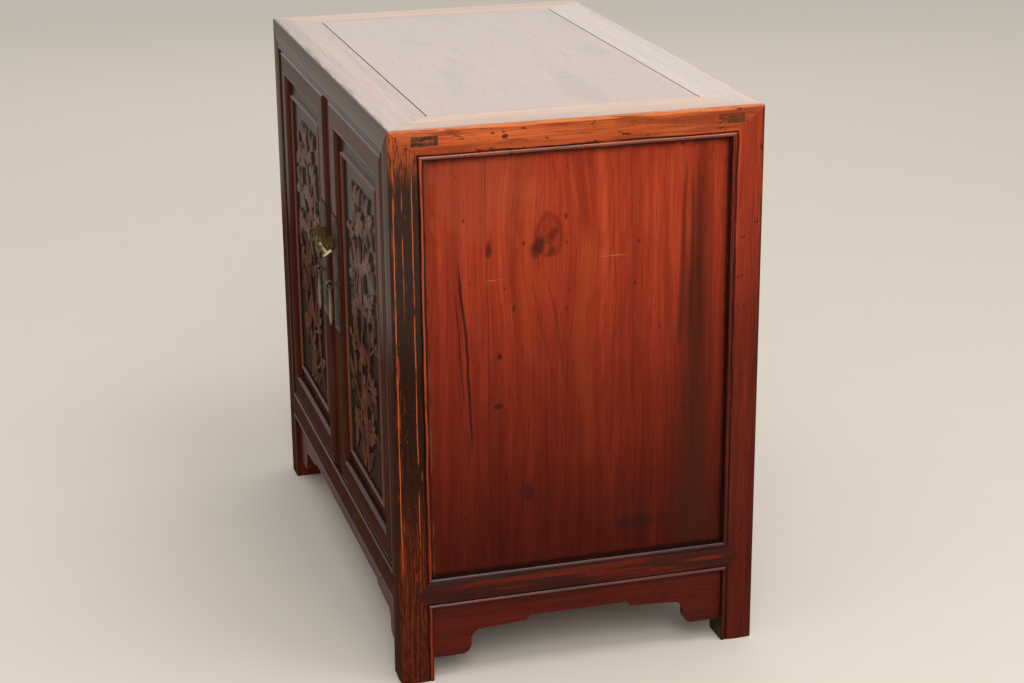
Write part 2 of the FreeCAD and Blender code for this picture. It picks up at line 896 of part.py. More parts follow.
def staple_shape():
    """Staple of the left pull: an upright ring on a round tang."""
    ring_y = plate_front - staple_stand
    centre = Vector(stile_middle, ring_y, staple_level)
    ring = Part.makeTorus(staple_ring_radius, staple_wire_radius, centre, ALONG_X)
    return ring.fuse(staple_tang(0)).removeSplitter()


def staple_tang(gap):
    """Tang of the left staple from the back of its ring into the stile, or its hole."""
    start = plate_front - staple_stand + staple_ring_radius
    length = plate_front + tang_length + gap - start
    return Part.makeCylinder(
        staple_wire_radius + gap, length, Vector(stile_middle, start, staple_level), ALONG_Y
    )


def pull_shape():
    """Left pull: a ring through the staple, and a flat drop that hangs from it."""
    rest = staple_ring_radius - staple_wire_radius - pull_wire_radius - pull_play
    pivot_level = staple_level - rest
    y = plate_front - staple_stand
    centre = Vector(stile_middle, y, pivot_level - pull_ring_radius)
    ring = Part.makeTorus(pull_ring_radius, pull_wire_radius, centre, ALONG_Y)
    top = pivot_level - pull_ring_radius * 2
    belly = top - pull_drop_length * pull_belly_share
    tip = top - pull_drop_length
    neck = pull_neck_width / 2
    side = pull_drop_width / 2
    start = (-neck, top)
    steps = straight_steps([(neck, top)])
    steps.append(bulged((neck, top), (side, belly), pull_curve_share))
    steps.append(bulged((side, belly), (0, tip), pull_tip_share))
    steps.append(bulged((0, tip), (-side, belly), pull_tip_share))
    steps.append(bulged((-side, belly), start, pull_curve_share))

    def place(s, z):
        return Vector(stile_middle + s, y - pull_drop_thickness / 2, z)

    drop = outline_face(start, steps, place).extrude(ALONG_Y * pull_drop_thickness)
    return ring.fuse(drop).removeSplitter()


def pin_shape():
    """Lock pin on the bottom of the right eye's hole, with a cross bar for a head."""
    tip = Vector(-eye_x - pin_rest_entry, pin_y, pin_level)
    shank = Part.makeCylinder(pin_radius, pin_length, tip, ALONG_X)
    nose = Part.makeSphere(pin_radius, tip)
    head = tip + ALONG_X * pin_length
    bar = Part.makeCylinder(pin_head_radius, pin_head_length, head - UPWARDS * (pin_head_length / 2))
    bar.rotate(head, ALONG_X, pin_head_tilt - 90)
    return shank.fuse(nose).fuse(bar).removeSplitter()


def build_frame(nodes):
    """Legs, rails and aprons, with the joints between them."""
    leg = leg_shape()
    legs = {"front_left": leg, "front_right": to_right(leg)}
    legs["back_left"] = to_back(leg)
    legs["back_right"] = to_back(to_right(leg))
    stub_socket = leg_stub(joint_gap, tenon_end_gap)
    tenon_slot = top_tenon(joint_gap)
    stub_sockets = [*both_ends(stub_socket), *both_ends(to_back(stub_socket))]
    tenon_slots = [*both_ends(tenon_slot), *both_ends(to_back(tenon_slot))]
    for side in SIDE_ANGLES:
        run, reach = side_sizes(side)
        rail = top_rail_shape(side)
        if side in ("front", "back"):
            tenons = both_ends(top_tenon(0))
            for tenon in tenons:
                rail = rail.fuse(tenon if side == "front" else to_back(tenon))
            rail = rail.removeSplitter()
        else:
            for slot in tenon_slots:
                rail = rail.cut(slot)
        for socket in stub_sockets:
            rail = rail.cut(socket)
        nodes["top_rail_" + side] = rail
        along, down_legs = apron_grooves(side)
        nodes["lower_rail_" + side] = lower_rail_shape(side).cut(along)
        nodes["apron_" + side] = apron_shape(side)
        cuts = [down_legs]
        for notch in both_ends(shoulder_prism(run, reach, joint_gap)):
            cuts.append(turned_to(side, notch))
        for mortise in both_ends(lower_tenon(run, reach, joint_gap, tenon_end_gap)):
            cuts.append(turned_to(side, mortise))
        for place in legs:
            if side in place:
                for cut in cuts:
                    legs[place] = legs[place].cut(cut)
    for place, shape in legs.items():
        for slot in tenon_slots:
            shape = shape.cut(slot)
        nodes["leg_" + place] = shape


def build_panels(nodes):
    """Floating panels, their battens, the shelf and the bearers."""
    for side in ("left", "right", "back"):
        nodes["panel_" + side] = panel_space(side, 0, 0)
        groove = panel_space(side, joint_gap, groove_spare)
        touched = [name for name in nodes if name.startswith("leg_") and side in name]
        for name in [*touched, "top_rail_" + side, "lower_rail_" + side]:
            nodes[name] = nodes[name].cut(groove)
    nodes["top_panel"], top_groove = top_panel_shape()
    nodes["bottom_panel"], bottom_groove = bottom_panel_shape()
    for side in SIDE_ANGLES:
        nodes["top_rail_" + side] = nodes["top_rail_" + side].cut(top_groove)
        nodes["lower_rail_" + side] = nodes["lower_rail_" + side].cut(bottom_groove)
    top_names = ("top_batten_left", "top_batten_right")
    top_rails = ("top_rail_front", "top_rail_back")
    inner_depth = depth - top_rail_width * 2
    framed_battens(top_names, inner_depth, height - top_panel_thickness, nodes, "top_panel", top_rails)
    low_names = ("bottom_batten_left", "bottom_batten_right")
    low_rails = ("lower_rail_front", "lower_rail_back")
    inner_depth = depth - lower_rail_thickness * 2
    level = lower_rail_top - bottom_panel_drop - bottom_panel_thickness
    framed_battens(low_names, inner_depth, level, nodes, "bottom_panel", low_rails)
    length = width - leg_size * 2 - batten_tenon * 2
    back_face = back_y - panel_recess - panel_thickness
    level = shelf_level + (top_rail_under - shelf_level) * back_batten_share
    nodes["back_batten"] = stand_batten(batten_shape(length, 0), back_face, level)
    slot = stand_batten(key_prism(length + joint_gap * 2, joint_gap), back_face, level)
    nodes["panel_back"] = nodes["panel_back"].cut(slot)
    nodes["shelf"] = shelf_shape()
    for side in ("left", "right"):
        nodes["shelf_bearer_" + side] = bearer_shape(side, 0)
        mortises = bearer_shape(side, joint_gap)
        for place in ("front_", "back_"):
            name = "leg_" + place + side
            nodes[name] = nodes[name].cut(mortises)
    nodes["centre_post"] = post_shape()
    nodes["lower_rail_front"] = nodes["lower_rail_front"].cut(post_stub(post_play))
    nodes["top_rail_front"] = nodes["top_rail_front"].cut(post_slot())


def door_pieces():
    """Every piece of the left door by its name."""
    hinge_stile, lock_stile, top_rail, bottom_rail = door_frame()
    plate = plate_shape()
    nails = []
    for x, z in nail_places():
        nails.append(nail_shape(x, z))
        hole = nail_shank(x, z, nail_hole_gap)
        plate = plate.cut(hole)
        lock_stile = lock_stile.cut(hole)
    for tang in (eye_tang(nail_hole_gap), staple_tang(nail_hole_gap)):
        plate = plate.cut(tang)
        lock_stile = lock_stile.cut(tang)
    return {
        "hinge_stile": hinge_stile,
        "lock_stile": lock_stile,
        "top_rail": top_rail,
        "bottom_rail": bottom_rail,
        "panel": door_panel_shape(),
        "plate": plate,
        "plate_nails": Part.makeCompound(nails),
        "eye": eye_shape(),
        "pull_staple": staple_shape(),
        "pull": pull_shape(),
    }


def build_doors(nodes):
    """Both doors with their hardware, the sockets for their pivots, and the lock pin."""
    for name, shape in door_pieces().items():
        nodes["left_door_" + name] = shape
        nodes["right_door_" + name] = to_right(shape)
    lower, upper = pivot_shape(pivot_clearance, pivot_top_spare, pivot_end_gap)
    for socket in both_ends(lower):
        nodes["lower_rail_front"] = nodes["lower_rail_front"].cut(socket)
    for socket in both_ends(upper):
        nodes["top_rail_front"] = nodes["top_rail_front"].cut(socket)
    nodes["lock_pin"] = pin_shape()


def main():
    """Build every piece and write each one to a file of its own."""
    nodes = {}
    build_frame(nodes)
    build_panels(nodes)
    build_doors(nodes)
    os.makedirs("parts", exist_ok=True)
    for name, shape in sorted(nodes.items()):
        solids = shape.Solids
        print(name, len(solids), round(sum(solid.Volume for solid in solids)), shape.isValid())
        piece = solids[0] if len(solids) == 1 else Part.makeCompound(solids)
        piece.exportStep("parts/" + name + ".step")


main()
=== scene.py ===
"""Looks of a low two-door cabinet with carved doors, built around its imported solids.

Metres, +Z up, +X to the right and the front towards -Y, in the frame of the solids.
Only the carved motifs and the places on the side panels are written in millimetres.
"""

from __future__ import annotations

import logging
import math
from dataclasses import dataclass
from enum import Enum
from typing import Callable, Optional, Union

import bpy
import numpy as np
from mathutils import Matrix, Vector

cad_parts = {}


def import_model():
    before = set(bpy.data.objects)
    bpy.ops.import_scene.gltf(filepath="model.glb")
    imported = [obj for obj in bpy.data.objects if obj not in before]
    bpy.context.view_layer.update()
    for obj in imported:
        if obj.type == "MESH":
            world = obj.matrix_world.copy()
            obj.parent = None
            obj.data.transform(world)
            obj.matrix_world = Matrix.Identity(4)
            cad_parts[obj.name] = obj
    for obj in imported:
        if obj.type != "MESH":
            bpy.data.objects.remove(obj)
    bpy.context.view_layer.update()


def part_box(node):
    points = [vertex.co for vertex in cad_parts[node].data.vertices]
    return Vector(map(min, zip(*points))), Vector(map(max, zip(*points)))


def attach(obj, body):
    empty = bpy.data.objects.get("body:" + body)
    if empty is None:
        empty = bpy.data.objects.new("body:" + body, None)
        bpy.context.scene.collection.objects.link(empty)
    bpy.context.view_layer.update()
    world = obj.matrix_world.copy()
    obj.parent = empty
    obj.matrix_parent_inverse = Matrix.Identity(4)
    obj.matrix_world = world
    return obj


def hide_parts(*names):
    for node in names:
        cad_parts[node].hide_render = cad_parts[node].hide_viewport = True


LOG = logging.getLogger("cabinet")
MM = 0.001

Rgb = tuple[float, float, float]
Spot = tuple[float, float]
Point = tuple[float, float, float]
Waves = tuple[float, float, float]
Layers = tuple["Layer", ...]
Value = Union["Wire", float, tuple]


def srgb(red: float, green: float, blue: float) -> Rgb:
    """Linear colour of one that is written in sRGB steps.

    Args:
        red, green, blue: Channels from 0 to 255.

    Returns:
        The three linear channels from 0 to 1.
    """
    steps = np.array([red, green, blue]) / 255.0
    linear = np.where(steps <= 0.04045, steps / 12.92, ((steps + 0.055) / 1.055) ** 2.4)
    return tuple(float(channel) for channel in linear)


# Lacquer, from orange to black.
AMBER = srgb(212, 116, 54)
ORANGE = srgb(192, 88, 38)
RUST = srgb(168, 74, 34)
RED_LIGHT = srgb(176, 70, 38)
RED = srgb(158, 54, 28)
RED_DARK = srgb(128, 40, 20)
MAROON = srgb(106, 32, 18)
RED_DEEP = srgb(92, 26, 12)
OXBLOOD = srgb(74, 18, 9)
# BROWN_LIGHT and BROWN are the front's red-brown lacquer darkened as painted shade of the front
# faces.
BROWN_LIGHT = srgb(88, 47, 30)
BROWN = srgb(66, 35, 22)
UMBER = srgb(46, 24, 15)
SOOT = srgb(34, 25, 19)
# GRIME_AND_SHADE is the black of dirt, and also of painted shade in creases, along frames and
# under rails.
GRIME_AND_SHADE = srgb(28, 14, 10)

# The pale top, its worn tone lightened in part as painted reflection of glare, and scratches.
STRAW = srgb(196, 128, 88)
PALE_WARM = srgb(174, 134, 104)
PALE = srgb(158, 125, 105)
PALE_HIGHLIGHT_GREY = srgb(146, 121, 105)

# Linear factors that darken the lacquer downwards: partly its own tone, partly painted shade.
SHADE = (0.52, 0.44, 0.42)
SHADE_DEEP = (0.33, 0.27, 0.28)
SHADE_BACK = (0.38, 0.32, 0.34)


class Axis(Enum):
    """A direction of the cabinet, by its place in a vector."""

    ACROSS = 0
    DEEP = 1
    UP = 2

    def waves(self, across: float, along: float) -> Waves:
        """Waves per metre of a pattern that is drawn out along this direction."""
        return tuple(along if axis is self else across for axis in Axis)


class Hand(Enum):
    """Left or right seen from the front, by the sign of X."""

    LEFT = -1
    RIGHT = 1

    @property
    def word(self) -> str:
        """The hand's word in node names."""
        return self.name.lower()


class Place(Enum):
    """Side of the cabinet that a rail or an apron is on, by the word in its node's name."""

    FRONT = "front"
    BACK = "back"
    LEFT = "left"
    RIGHT = "right"

    @property
    def lengthwise(self) -> bool:
        """Whether a piece there runs across the cabinet."""
        return self in (Place.FRONT, Place.BACK)

    @property
    def fibres(self) -> Axis:
        """Direction of the fibres of a piece there."""
        return Axis.ACROSS if self.lengthwise else Axis.DEEP


class Blend(Enum):
    """How a colour goes over another, by the Mix node's word for it."""

    OVER = "MIX"
    TIMES = "MULTIPLY"


class Share(Enum):
    """A value at each point of a carving, by the name of its attribute."""

    RELIEF = "relief"
    HOLLOW = "hollow"
    STEEP = "steep"
    CREASE = "crease"
    CREST = "crest"
    BEAD = "bead"


# Numbers that move the patterns of like pieces, so that they differ.
TOP_RAIL_SEEDS = dict(zip(Place, (31.0, 37.0, 41.0, 43.0)))
LOWER_RAIL_SEEDS = dict(zip(Place, (51.0, 53.0, 57.0, 59.0)))
APRON_SEEDS = dict(zip(Place, (61.0, 63.0, 67.0, 69.0)))
SEED_STEPS = (1.0, 1.7, 2.3)


def operator(operation: str, reflected: bool = False) -> Callable[..., "Wire"]:
    """Operator of wires that adds one Math node.

    Args:
        operation: The Math node's operation.
        reflected: Whether the other value comes first.

    Returns:
        The method, which takes the wire and the other value.
    """

    def method(wire: "Wire", other: Value = 0.0) -> "Wire":
        """One Math node on the wire and the other value."""
        first, second = (other, wire) if reflected else (wire, other)
        return wire.graph.node("ShaderNodeMath", {"operation": operation}, {0: first, 1: second})

    return method


class Wire:
    """Output socket of a node that takes part in Python sums.

    Numbers and wires may stand on either side of an operator, and each
    operation adds one Math node to the wire's graph.
    """

    __add__, __radd__ = operator("ADD"), operator("ADD", reflected=True)
    __sub__, __rsub__ = operator("SUBTRACT"), operator("SUBTRACT", reflected=True)
    __mul__, __rmul__ = operator("MULTIPLY"), operator("MULTIPLY", reflected=True)
    __truediv__, __rtruediv__ = operator("DIVIDE"), operator("DIVIDE", reflected=True)
    __pow__, __rpow__ = operator("POWER"), operator("POWER", reflected=True)
    __abs__ = operator("ABSOLUTE")
    least, most = operator("MINIMUM"), operator("MAXIMUM")
    wave = operator("SINE")

    def __init__(self, graph: "Graph", socket: Optional[bpy.types.NodeSocket]) -> None:
        """Keep the graph and the socket that the wire starts from."""
        self.graph = graph
        self.socket = socket

    def rise(self, low: float, high: float) -> "Wire":
        """Smooth step from 0 at low to 1 at high."""
        settings = {"interpolation_type": "SMOOTHSTEP"}
        return self.graph.node("ShaderNodeMapRange", settings, {0: self, 1: low, 2: high})

    def fall(self, low: float, high: float) -> "Wire":
        """Smooth step from 1 at low to 0 at high."""
        return 1.0 - self.rise(low, high)


def opaque(colour: Value) -> Value:
    """A wire as it is, or a linear colour with its fourth channel."""
    return colour if isinstance(colour, Wire) else (*colour, 1.0)


class Graph:
    """Node tree of a material or the world, with one method that adds any node."""

    def __init__(self, tree: bpy.types.NodeTree) -> None:
        """Start from an empty tree."""
        self.tree = tree
        tree.nodes.clear()

    def node(
        self, kind: str, settings: dict, sockets: dict, output: Union[int, str] = 0
    ) -> Wire:
        """Add a node.

        Args:
            kind: Type name of the node.
            settings: Properties, set before the sockets.
            sockets: Numbers, tuples or wires by the name or place of an input.
            output: Name or place of the output that is wanted.

        Returns:
            The wire from that output.
        """
        made = self.tree.nodes.new(kind)
        for name, value in settings.items():
            setattr(made, name, value)
        for key, value in sockets.items():
            if isinstance(value, Wire):
                self.tree.links.new(value.socket, made.inputs[key])
            else:
                made.inputs[key].default_value = value
        return Wire(self, made.outputs[output] if made.outputs else None)

    def blend(self, mask: Value, first: Value, second: Value, mode: Blend = Blend.OVER) -> Wire:
        """Mix of two colours by a mask.

        Args:
            mask: 0 for the first colour, 1 for the second.
            first, second: Wires or linear colours.
            mode: How the second goes over the first.

        Returns:
            The mixed colour.
        """
        settings = {"data_type": "RGBA", "blend_type": mode.value}
        sockets = {0: mask, 6: opaque(first), 7: opaque(second)}
        return self.node("ShaderNodeMix", settings, sockets, 2)

    def noise(self, place: Wire, waves: Waves, seed: float, detail: float) -> Wire:
        """Cloud noise with its own number of waves per metre along each axis.

        Args:
            place: Coordinates.
            waves: Waves per metre along X, Y and Z.
            seed: Moves the pattern, so that like pieces differ.
            detail: Number of finer layers.

        Returns:
            Values around 0.5.
        """
        moved = tuple(seed * step for step in SEED_STEPS)
        sockets = {"Vector": place, "Location": moved, "Scale": waves}
        mapped = self.node("ShaderNodeMapping", {}, sockets)
        sockets = {"Vector": mapped, "Scale": 1.0, "Detail": detail}
        return self.node("ShaderNodeTexNoise", {}, sockets)


class Surface:
    """Colour, roughness, height and gloss of a finish while its layers go on."""

    def __init__(self, graph: Graph, finish: "Finish") -> None:
        """Start from the finish's plain values, on Object coordinates.

        Args:
            graph: Graph of the material.
            finish: The finish that is laid.
        """
        self.graph = graph
        self.raw = graph.node("ShaderNodeTexCoord", {}, {}, "Object")
        self.bent = self.raw
        self.colour: Value = finish.base
        self.rough: Value = finish.roughness
        self.height: Value = 0.0
        self.gloss: Value = finish.gloss

    def along(self, axis: Axis) -> Wire:
        """One coordinate of the place on the piece."""
        return self.graph.node("ShaderNodeSeparateXYZ", {}, {0: self.raw}, axis.value)

    def noise(self, waves: Waves, seed: float, detail: float = 3.0) -> Wire:
        """Cloud noise around 0.5 that no swirl bends."""
        return self.graph.noise(self.raw, waves, seed, detail)

    def cloud(self, waves: Waves, seed: float, detail: float = 3.0) -> Wire:
        """Cloud noise around 0 that no swirl bends."""
        return self.noise(waves, seed, detail) - 0.5

    def tint(self, mask: Value, colour: Value, mode: Blend = Blend.OVER) -> None:
        """Mix a colour over the surface where the mask says."""
        self.colour = self.graph.blend(mask, self.colour, colour, mode)

    def polish(self, mask: Wire, roughness: Optional[float], gloss: Optional[float]) -> None:
        """Bring roughness and gloss to values of their own where the mask says.

        Args:
            mask: 0 where they stay as they are.
            roughness, gloss: The values, or None for one that stays everywhere.
        """
        if roughness is not None:
            self.rough = mask * (roughness - self.rough) + self.rough
        if gloss is not None:
            self.gloss = mask * (gloss - self.gloss) + self.gloss


class Layer:
    """One layer of a finish."""

    def lay(self, surface: Surface) -> None:
        """Change the surface."""
        raise NotImplementedError


@dataclass(frozen=True)
class Swirl(Layer):
    """Fibres that bow out round a knot in an upright board.

    The coordinate across the board, counted from the knot, is divided by one
    plus a push that dies away above, below and beside the knot.
    """

    axis: Axis
    centre: Spot
    reach: Spot
    push: float

    def lay(self, surface: Surface) -> None:
        """Bend the coordinates that later layers read.

        Args:
            surface: The surface so far.
        """
        across = surface.along(self.axis) - self.centre[0]
        rise = surface.along(Axis.UP) - self.centre[1]
        bulge = (across / self.reach[0]) ** 2.0 + (rise / self.reach[1]) ** 2.0
        fade = math.e ** (bulge * -1.0)
        spots = [surface.along(axis) for axis in Axis]
        spots[self.axis.value] = across / (1.0 + self.push * fade) + self.centre[0]
        surface.bent = surface.graph.node("ShaderNodeCombineXYZ", {}, dict(enumerate(spots)))


@dataclass(frozen=True)
class Fibre(Layer):
    """Wood grain: growth lines, broad streaks, threads, fine fibres and pores.

    A growth line is where the sine of a drawn-out cloud, times the number of
    rings and shaken a little by the finer clouds, is near its top.
    """

    axis: Axis
    dark: Rgb
    middle: Rgb
    light: Rgb
    seed: float
    lines: float = 0.35
    depth: float = 0.03

    # Waves per metre across and along the fibres.
    FIGURE = (6.0, 0.55)
    BROAD = (46.0, 1.3)
    THREAD = (170.0, 3.5)
    FINE = (560.0, 12.0)
    PORES = (760.0, 26.0)
    # Number of rings, and how far the broad and the fine cloud shake them.
    RINGS, BROAD_SHAKE, FINE_SHAKE = 170.0, 9.0, 1.5

    @property
    def pore(self) -> Rgb:
        """Colour of the pores: about a third of the dark one."""
        return tuple(channel * 0.35 for channel in self.dark)

    def cloud(self, surface: Surface, waves: Spot, shift: float, detail: float = 3.0) -> Wire:
        """Cloud that is drawn out along the fibres and bends with a swirl."""
        drawn = self.axis.waves(*waves)
        return surface.graph.noise(surface.bent, drawn, self.seed + shift, detail)

    def lay(self, surface: Surface) -> None:
        """Lay the grain's colours and its fine relief.

        Args:
            surface: The surface so far.
        """
        figure = self.cloud(surface, self.FIGURE, 0.0, 0.5)
        broad = self.cloud(surface, self.BROAD, 3.0, 4.0)
        thread = self.cloud(surface, self.THREAD, 7.0, 2.0)
        fine = self.cloud(surface, self.FINE, 5.0)
        pores = self.cloud(surface, self.PORES, 11.0, 1.0)
        shaken = figure * self.RINGS + broad * self.BROAD_SHAKE + fine * self.FINE_SHAKE
        ring = shaken.wave() * 0.5 + 0.5
        surface.colour = surface.graph.blend(broad.rise(0.28, 0.62), self.dark, self.middle)
        tints = (
            (broad.rise(0.55, 0.8), 0.8, self.light),
            (ring.rise(0.55, 1.0), self.lines, self.dark),
            (thread.rise(0.5, 0.7), 0.38, self.dark),
            (thread.fall(0.34, 0.46), 0.22, self.light),
            (fine.rise(0.5, 0.68), 0.55, self.dark),
            (fine.fall(0.34, 0.46), 0.3, self.light),
            (pores.rise(0.64, 0.74), 0.55, self.pore),
        )
        for mask, strength, colour in tints:
            surface.tint(mask * strength, colour)
        surface.height = fine * self.depth + surface.height
        surface.rough = broad * 0.12 + (surface.rough - 0.06)


@dataclass(frozen=True)
class Fade(Layer):
    """Colour that comes in along one direction, with a cloudy edge."""

    axis: Axis
    start: float
    end: float
    colour: Rgb
    strength: float = 1.0
    cloud: float = 0.12
    seed: float = 0.0
    mode: Blend = Blend.OVER

    CLOUD_WAVES = (9.0, 9.0, 4.0)

    def lay(self, surface: Surface) -> None:
        """Mix the colour in from start to end.

        Args:
            surface: The surface so far.
        """
        cloud = surface.graph.noise(surface.bent, self.CLOUD_WAVES, self.seed, 2.0) - 0.5
        share = (surface.along(self.axis) - self.start) / (self.end - self.start)
        way = share + cloud * (self.cloud * 10.0)
        surface.tint(way.rise(0.0, 1.0) * self.strength, self.colour, self.mode)


@dataclass(frozen=True)
class Stroke(Layer):
    """Upright streak, crack or rubbed line between two points of a board's face."""

    axis: Axis
    first: Spot
    last: Spot
    width: float
    colour: Rgb
    strength: float = 0.8
    wander: float = 0.004
    soft: float = 0.2
    flare: float = 0.0
    seed: float = 0.0

    SWAY_WAVES = (2.0, 2.0, 9.0)
    FEATHER_WAVES = Axis.UP.waves(260.0, 9.0)

    def lay(self, surface: Surface) -> None:
        """Mix the colour in near the line, thinner towards its ends or wider by its flare.

        Args:
            surface: The surface so far.
        """
        (first_x, first_z), (last_x, last_z) = self.first, self.last
        way = (surface.along(Axis.UP) - first_z) / (last_z - first_z)
        centre = way * (last_x - first_x) + first_x
        sway = surface.cloud(self.SWAY_WAVES, self.seed, 2.0) * (self.wander * 4.0)
        feather = surface.cloud(self.FEATHER_WAVES, self.seed + 1.0) * 0.7
        half = (way * self.flare + 1.0) * self.width
        off = abs(surface.along(self.axis) - centre + sway) / half + feather
        mask = off.fall(self.soft, 1.0) * way.rise(0.0, 0.15) * way.fall(0.85, 1.0)
        surface.tint(mask * self.strength, self.colour)


@dataclass(frozen=True)
class Blot(Layer):
    """Oval stain on a face, with a cloudy edge."""

    axis: Axis
    centre: Spot
    reach: Spot
    colour: Rgb
    strength: float = 0.7
    seed: float = 0.0
    second: Axis = Axis.UP

    CLOUD_WAVES = (55.0, 55.0, 40.0)
    RAGGED = 1.6

    def lay(self, surface: Surface) -> None:
        """Mix the colour in around the centre.

        Args:
            surface: The surface so far.
        """
        across = (surface.along(self.axis) - self.centre[0]) / self.reach[0]
        rise = (surface.along(self.second) - self.centre[1]) / self.reach[1]
        cloud = surface.cloud(self.CLOUD_WAVES, self.seed)
        distance = (across * across + rise * rise) ** 0.5 + cloud * self.RAGGED
        surface.tint(distance.fall(0.35, 1.0) * self.strength, self.colour)


@dataclass(frozen=True)
class Knot(Layer):
    """Knot in an upright board: pointed rings, drawn out upwards, round a split dark heart."""

    axis: Axis
    centre: Spot
    reach: float
    ring: Rgb
    heart: Rgb

    CLOUD_WAVES = (70.0, 70.0, 60.0)
    # Side, lift, size and strength of the heart's lobes, the first three in reaches.
    LOBES = ((-0.55, -0.3, 0.85, 0.8), (0.1, -0.55, 0.45, 0.6), (0.2, 0.35, 0.6, 0.5))

    def lay(self, surface: Surface) -> None:
        """Draw the rings by a way from the centre that is longer upwards, and the heart's lobes.

        Args:
            surface: The surface so far.
        """
        across = (surface.along(self.axis) - self.centre[0]) / self.reach
        rise = (surface.along(Axis.UP) - self.centre[1]) / self.reach
        cloud = surface.cloud(self.CLOUD_WAVES, 2.0)
        tall = rise.most(0.0) * 0.5 + rise.least(0.0) * 0.85
        away = (across * across + tall * tall) ** 0.5 + cloud * 0.24
        rings = (away * 13.0).wave() * 0.5 + 0.5
        surface.tint(rings.rise(0.5, 1.0) * away.fall(0.4, 1.3) * 0.5, self.ring)
        surface.tint(away.fall(0.2, 1.1) * 0.4, self.ring)
        for side, lift, size, strength in self.LOBES:
            lean = (across - side) * 1.5 - (rise - lift) * 0.45
            lobe = (lean * lean + (rise - lift) ** 2.0) ** 0.5 / size + cloud * 0.8
            surface.tint(lobe.fall(0.25, 0.75) * strength, self.heart)


@dataclass(frozen=True)
class Specks(Layer):
    """Small scattered spots, such as dents, pores and chips of lacquer."""

    size: float
    colour: Rgb
    amount: float
    strength: float = 0.8
    seed: float = 0.0
    depth: float = 0.0
    axis: Axis = Axis.UP

    STRETCH = 0.6
    # Values of the cloud at the rim and in the middle of a spot, less the amount.
    RIM, MIDDLE = 0.82, 0.88

    def lay(self, surface: Surface) -> None:
        """Mix the colour in at the peaks of a cloud.

        Args:
            surface: The surface so far.
        """
        waves = 1.0 / self.size
        spots = surface.noise(self.axis.waves(waves, waves * self.STRETCH), self.seed, 1.0)
        mask = spots.rise(self.RIM - self.amount, self.MIDDLE - self.amount)
        surface.tint(mask * self.strength, self.colour)
        if self.depth:
            surface.height = surface.height - mask * self.depth


@dataclass(frozen=True)
class Rub(Layer):
    """Line along a member where hands or cloths have rubbed an edge bare."""

    axis: Axis
    at: float
    width: float
    colour: Rgb
    fibres: Axis
    strength: float = 0.9
    broken: float = 0.45
    seed: float = 0.0

    # Waves per metre across and along the fibres, and the jags of the torn edge.
    SWAY_WAVES = (12.0, 13.0)
    TEAR_WAVES = (210.0, 28.0)
    TEAR = 0.0016

    def lay(self, surface: Surface) -> None:
        """Mix the colour in near the line where the wear has gone through.

        Args:
            surface: The surface so far.
        """
        sway = surface.cloud(self.fibres.waves(*self.SWAY_WAVES), self.seed, 2.0)
        torn = surface.noise(self.fibres.waves(*self.TEAR_WAVES), self.seed + 4.0)
        jag = sway * (self.width * 1.6 + 0.0012) + (torn - 0.5) * self.TEAR
        off = abs(surface.along(self.axis) - self.at + jag)
        through = torn.rise(self.broken - 0.12, self.broken + 0.06)
        mask = off.fall(self.width * 0.35, self.width) * through
        surface.tint(mask * self.strength, self.colour)


@dataclass(frozen=True)
class Wear(Layer):
    """Lacquer worn through in ragged patches that follow the fibres."""

    fibres: Axis
    colour: Rgb
    amount: float
    strength: float = 0.9
    across: float = 110.0
    lengthwise: float = 9.0
    seed: float = 0.0

    SOFT = 0.05

    def lay(self, surface: Surface) -> None:
        """Mix the colour in where the cloud passes the wear's amount.

        Args:
            surface: The surface so far.
        """
        patch = surface.noise(self.fibres.waves(self.across, self.lengthwise), self.seed, 5.0)
        edge = 1.0 - self.amount
        mask = patch.rise(edge - self.SOFT, edge + self.SOFT)
        surface.tint(mask * self.strength, self.colour)


@dataclass(frozen=True)
class DirtAndShade(Layer):
    """Darkening along two limits of a face: dirt, and painted shade where the face meets its
    frame.
    """

    axis: Axis
    limits: Spot
    reach: float
    colour: Rgb
    strength: float = 0.75
    seed: float = 0.0

    CLOUD_WAVES = (60.0, 60.0, 60.0)

    def lay(self, surface: Surface) -> None:
        """Mix the colour in near the limits.

        Args:
            surface: The surface so far.
        """
        low, high = self.limits
        here = surface.along(self.axis)
        cloud = surface.cloud(self.CLOUD_WAVES, self.seed)
        off = (here - low).least(high - here) + cloud * self.reach
        surface.tint(off.fall(0.0, self.reach) * self.strength, self.colour)


@dataclass(frozen=True)
class OnFace(Layer):
    """Layers that hold only on one side of a plane, with a soft edge from start to end."""

    axis: Axis
    start: float
    end: float
    layers: Layers
    gloss: Optional[float] = None
    roughness: Optional[float] = None

    def lay(self, surface: Surface) -> None:
        """Lay the layers and keep them, without their relief, only past the plane.

        Args:
            surface: The surface so far.
        """
        low, high = sorted((self.start, self.end))
        here = surface.along(self.axis)
        mask = here.rise(low, high) if self.end > self.start else here.fall(low, high)
        colour, rough, height = surface.colour, surface.rough, surface.height
        for layer in self.layers:
            layer.lay(surface)
        surface.colour = surface.graph.blend(mask, colour, surface.colour)
        if isinstance(surface.rough, Wire):
            surface.rough = mask * (surface.rough - rough) + rough
        surface.height = height
        surface.polish(mask, self.roughness, self.gloss)


@dataclass(frozen=True)
class Relief(Layer):
    """Colour by a value of a carving, read from the piece's own attribute."""

    share: Share
    low: float
    high: float
    colour: Rgb
    strength: float = 1.0
    gloss: Optional[float] = None
    roughness: Optional[float] = None

    CLOUD_WAVES = (120.0, 120.0, 120.0)

    def lay(self, surface: Surface) -> None:
        """Mix the colour in from the low to the high value.

        Args:
            surface: The surface so far.
        """
        settings = {"attribute_name": self.share.value}
        value = surface.graph.node("ShaderNodeAttribute", settings, {}, "Fac")
        cloud = surface.cloud(self.CLOUD_WAVES, 3.0, 2.0)
        mask = (value + cloud * 0.25).rise(self.low, self.high) * self.strength
        surface.tint(mask, self.colour)
        surface.polish(mask, self.roughness, self.gloss)


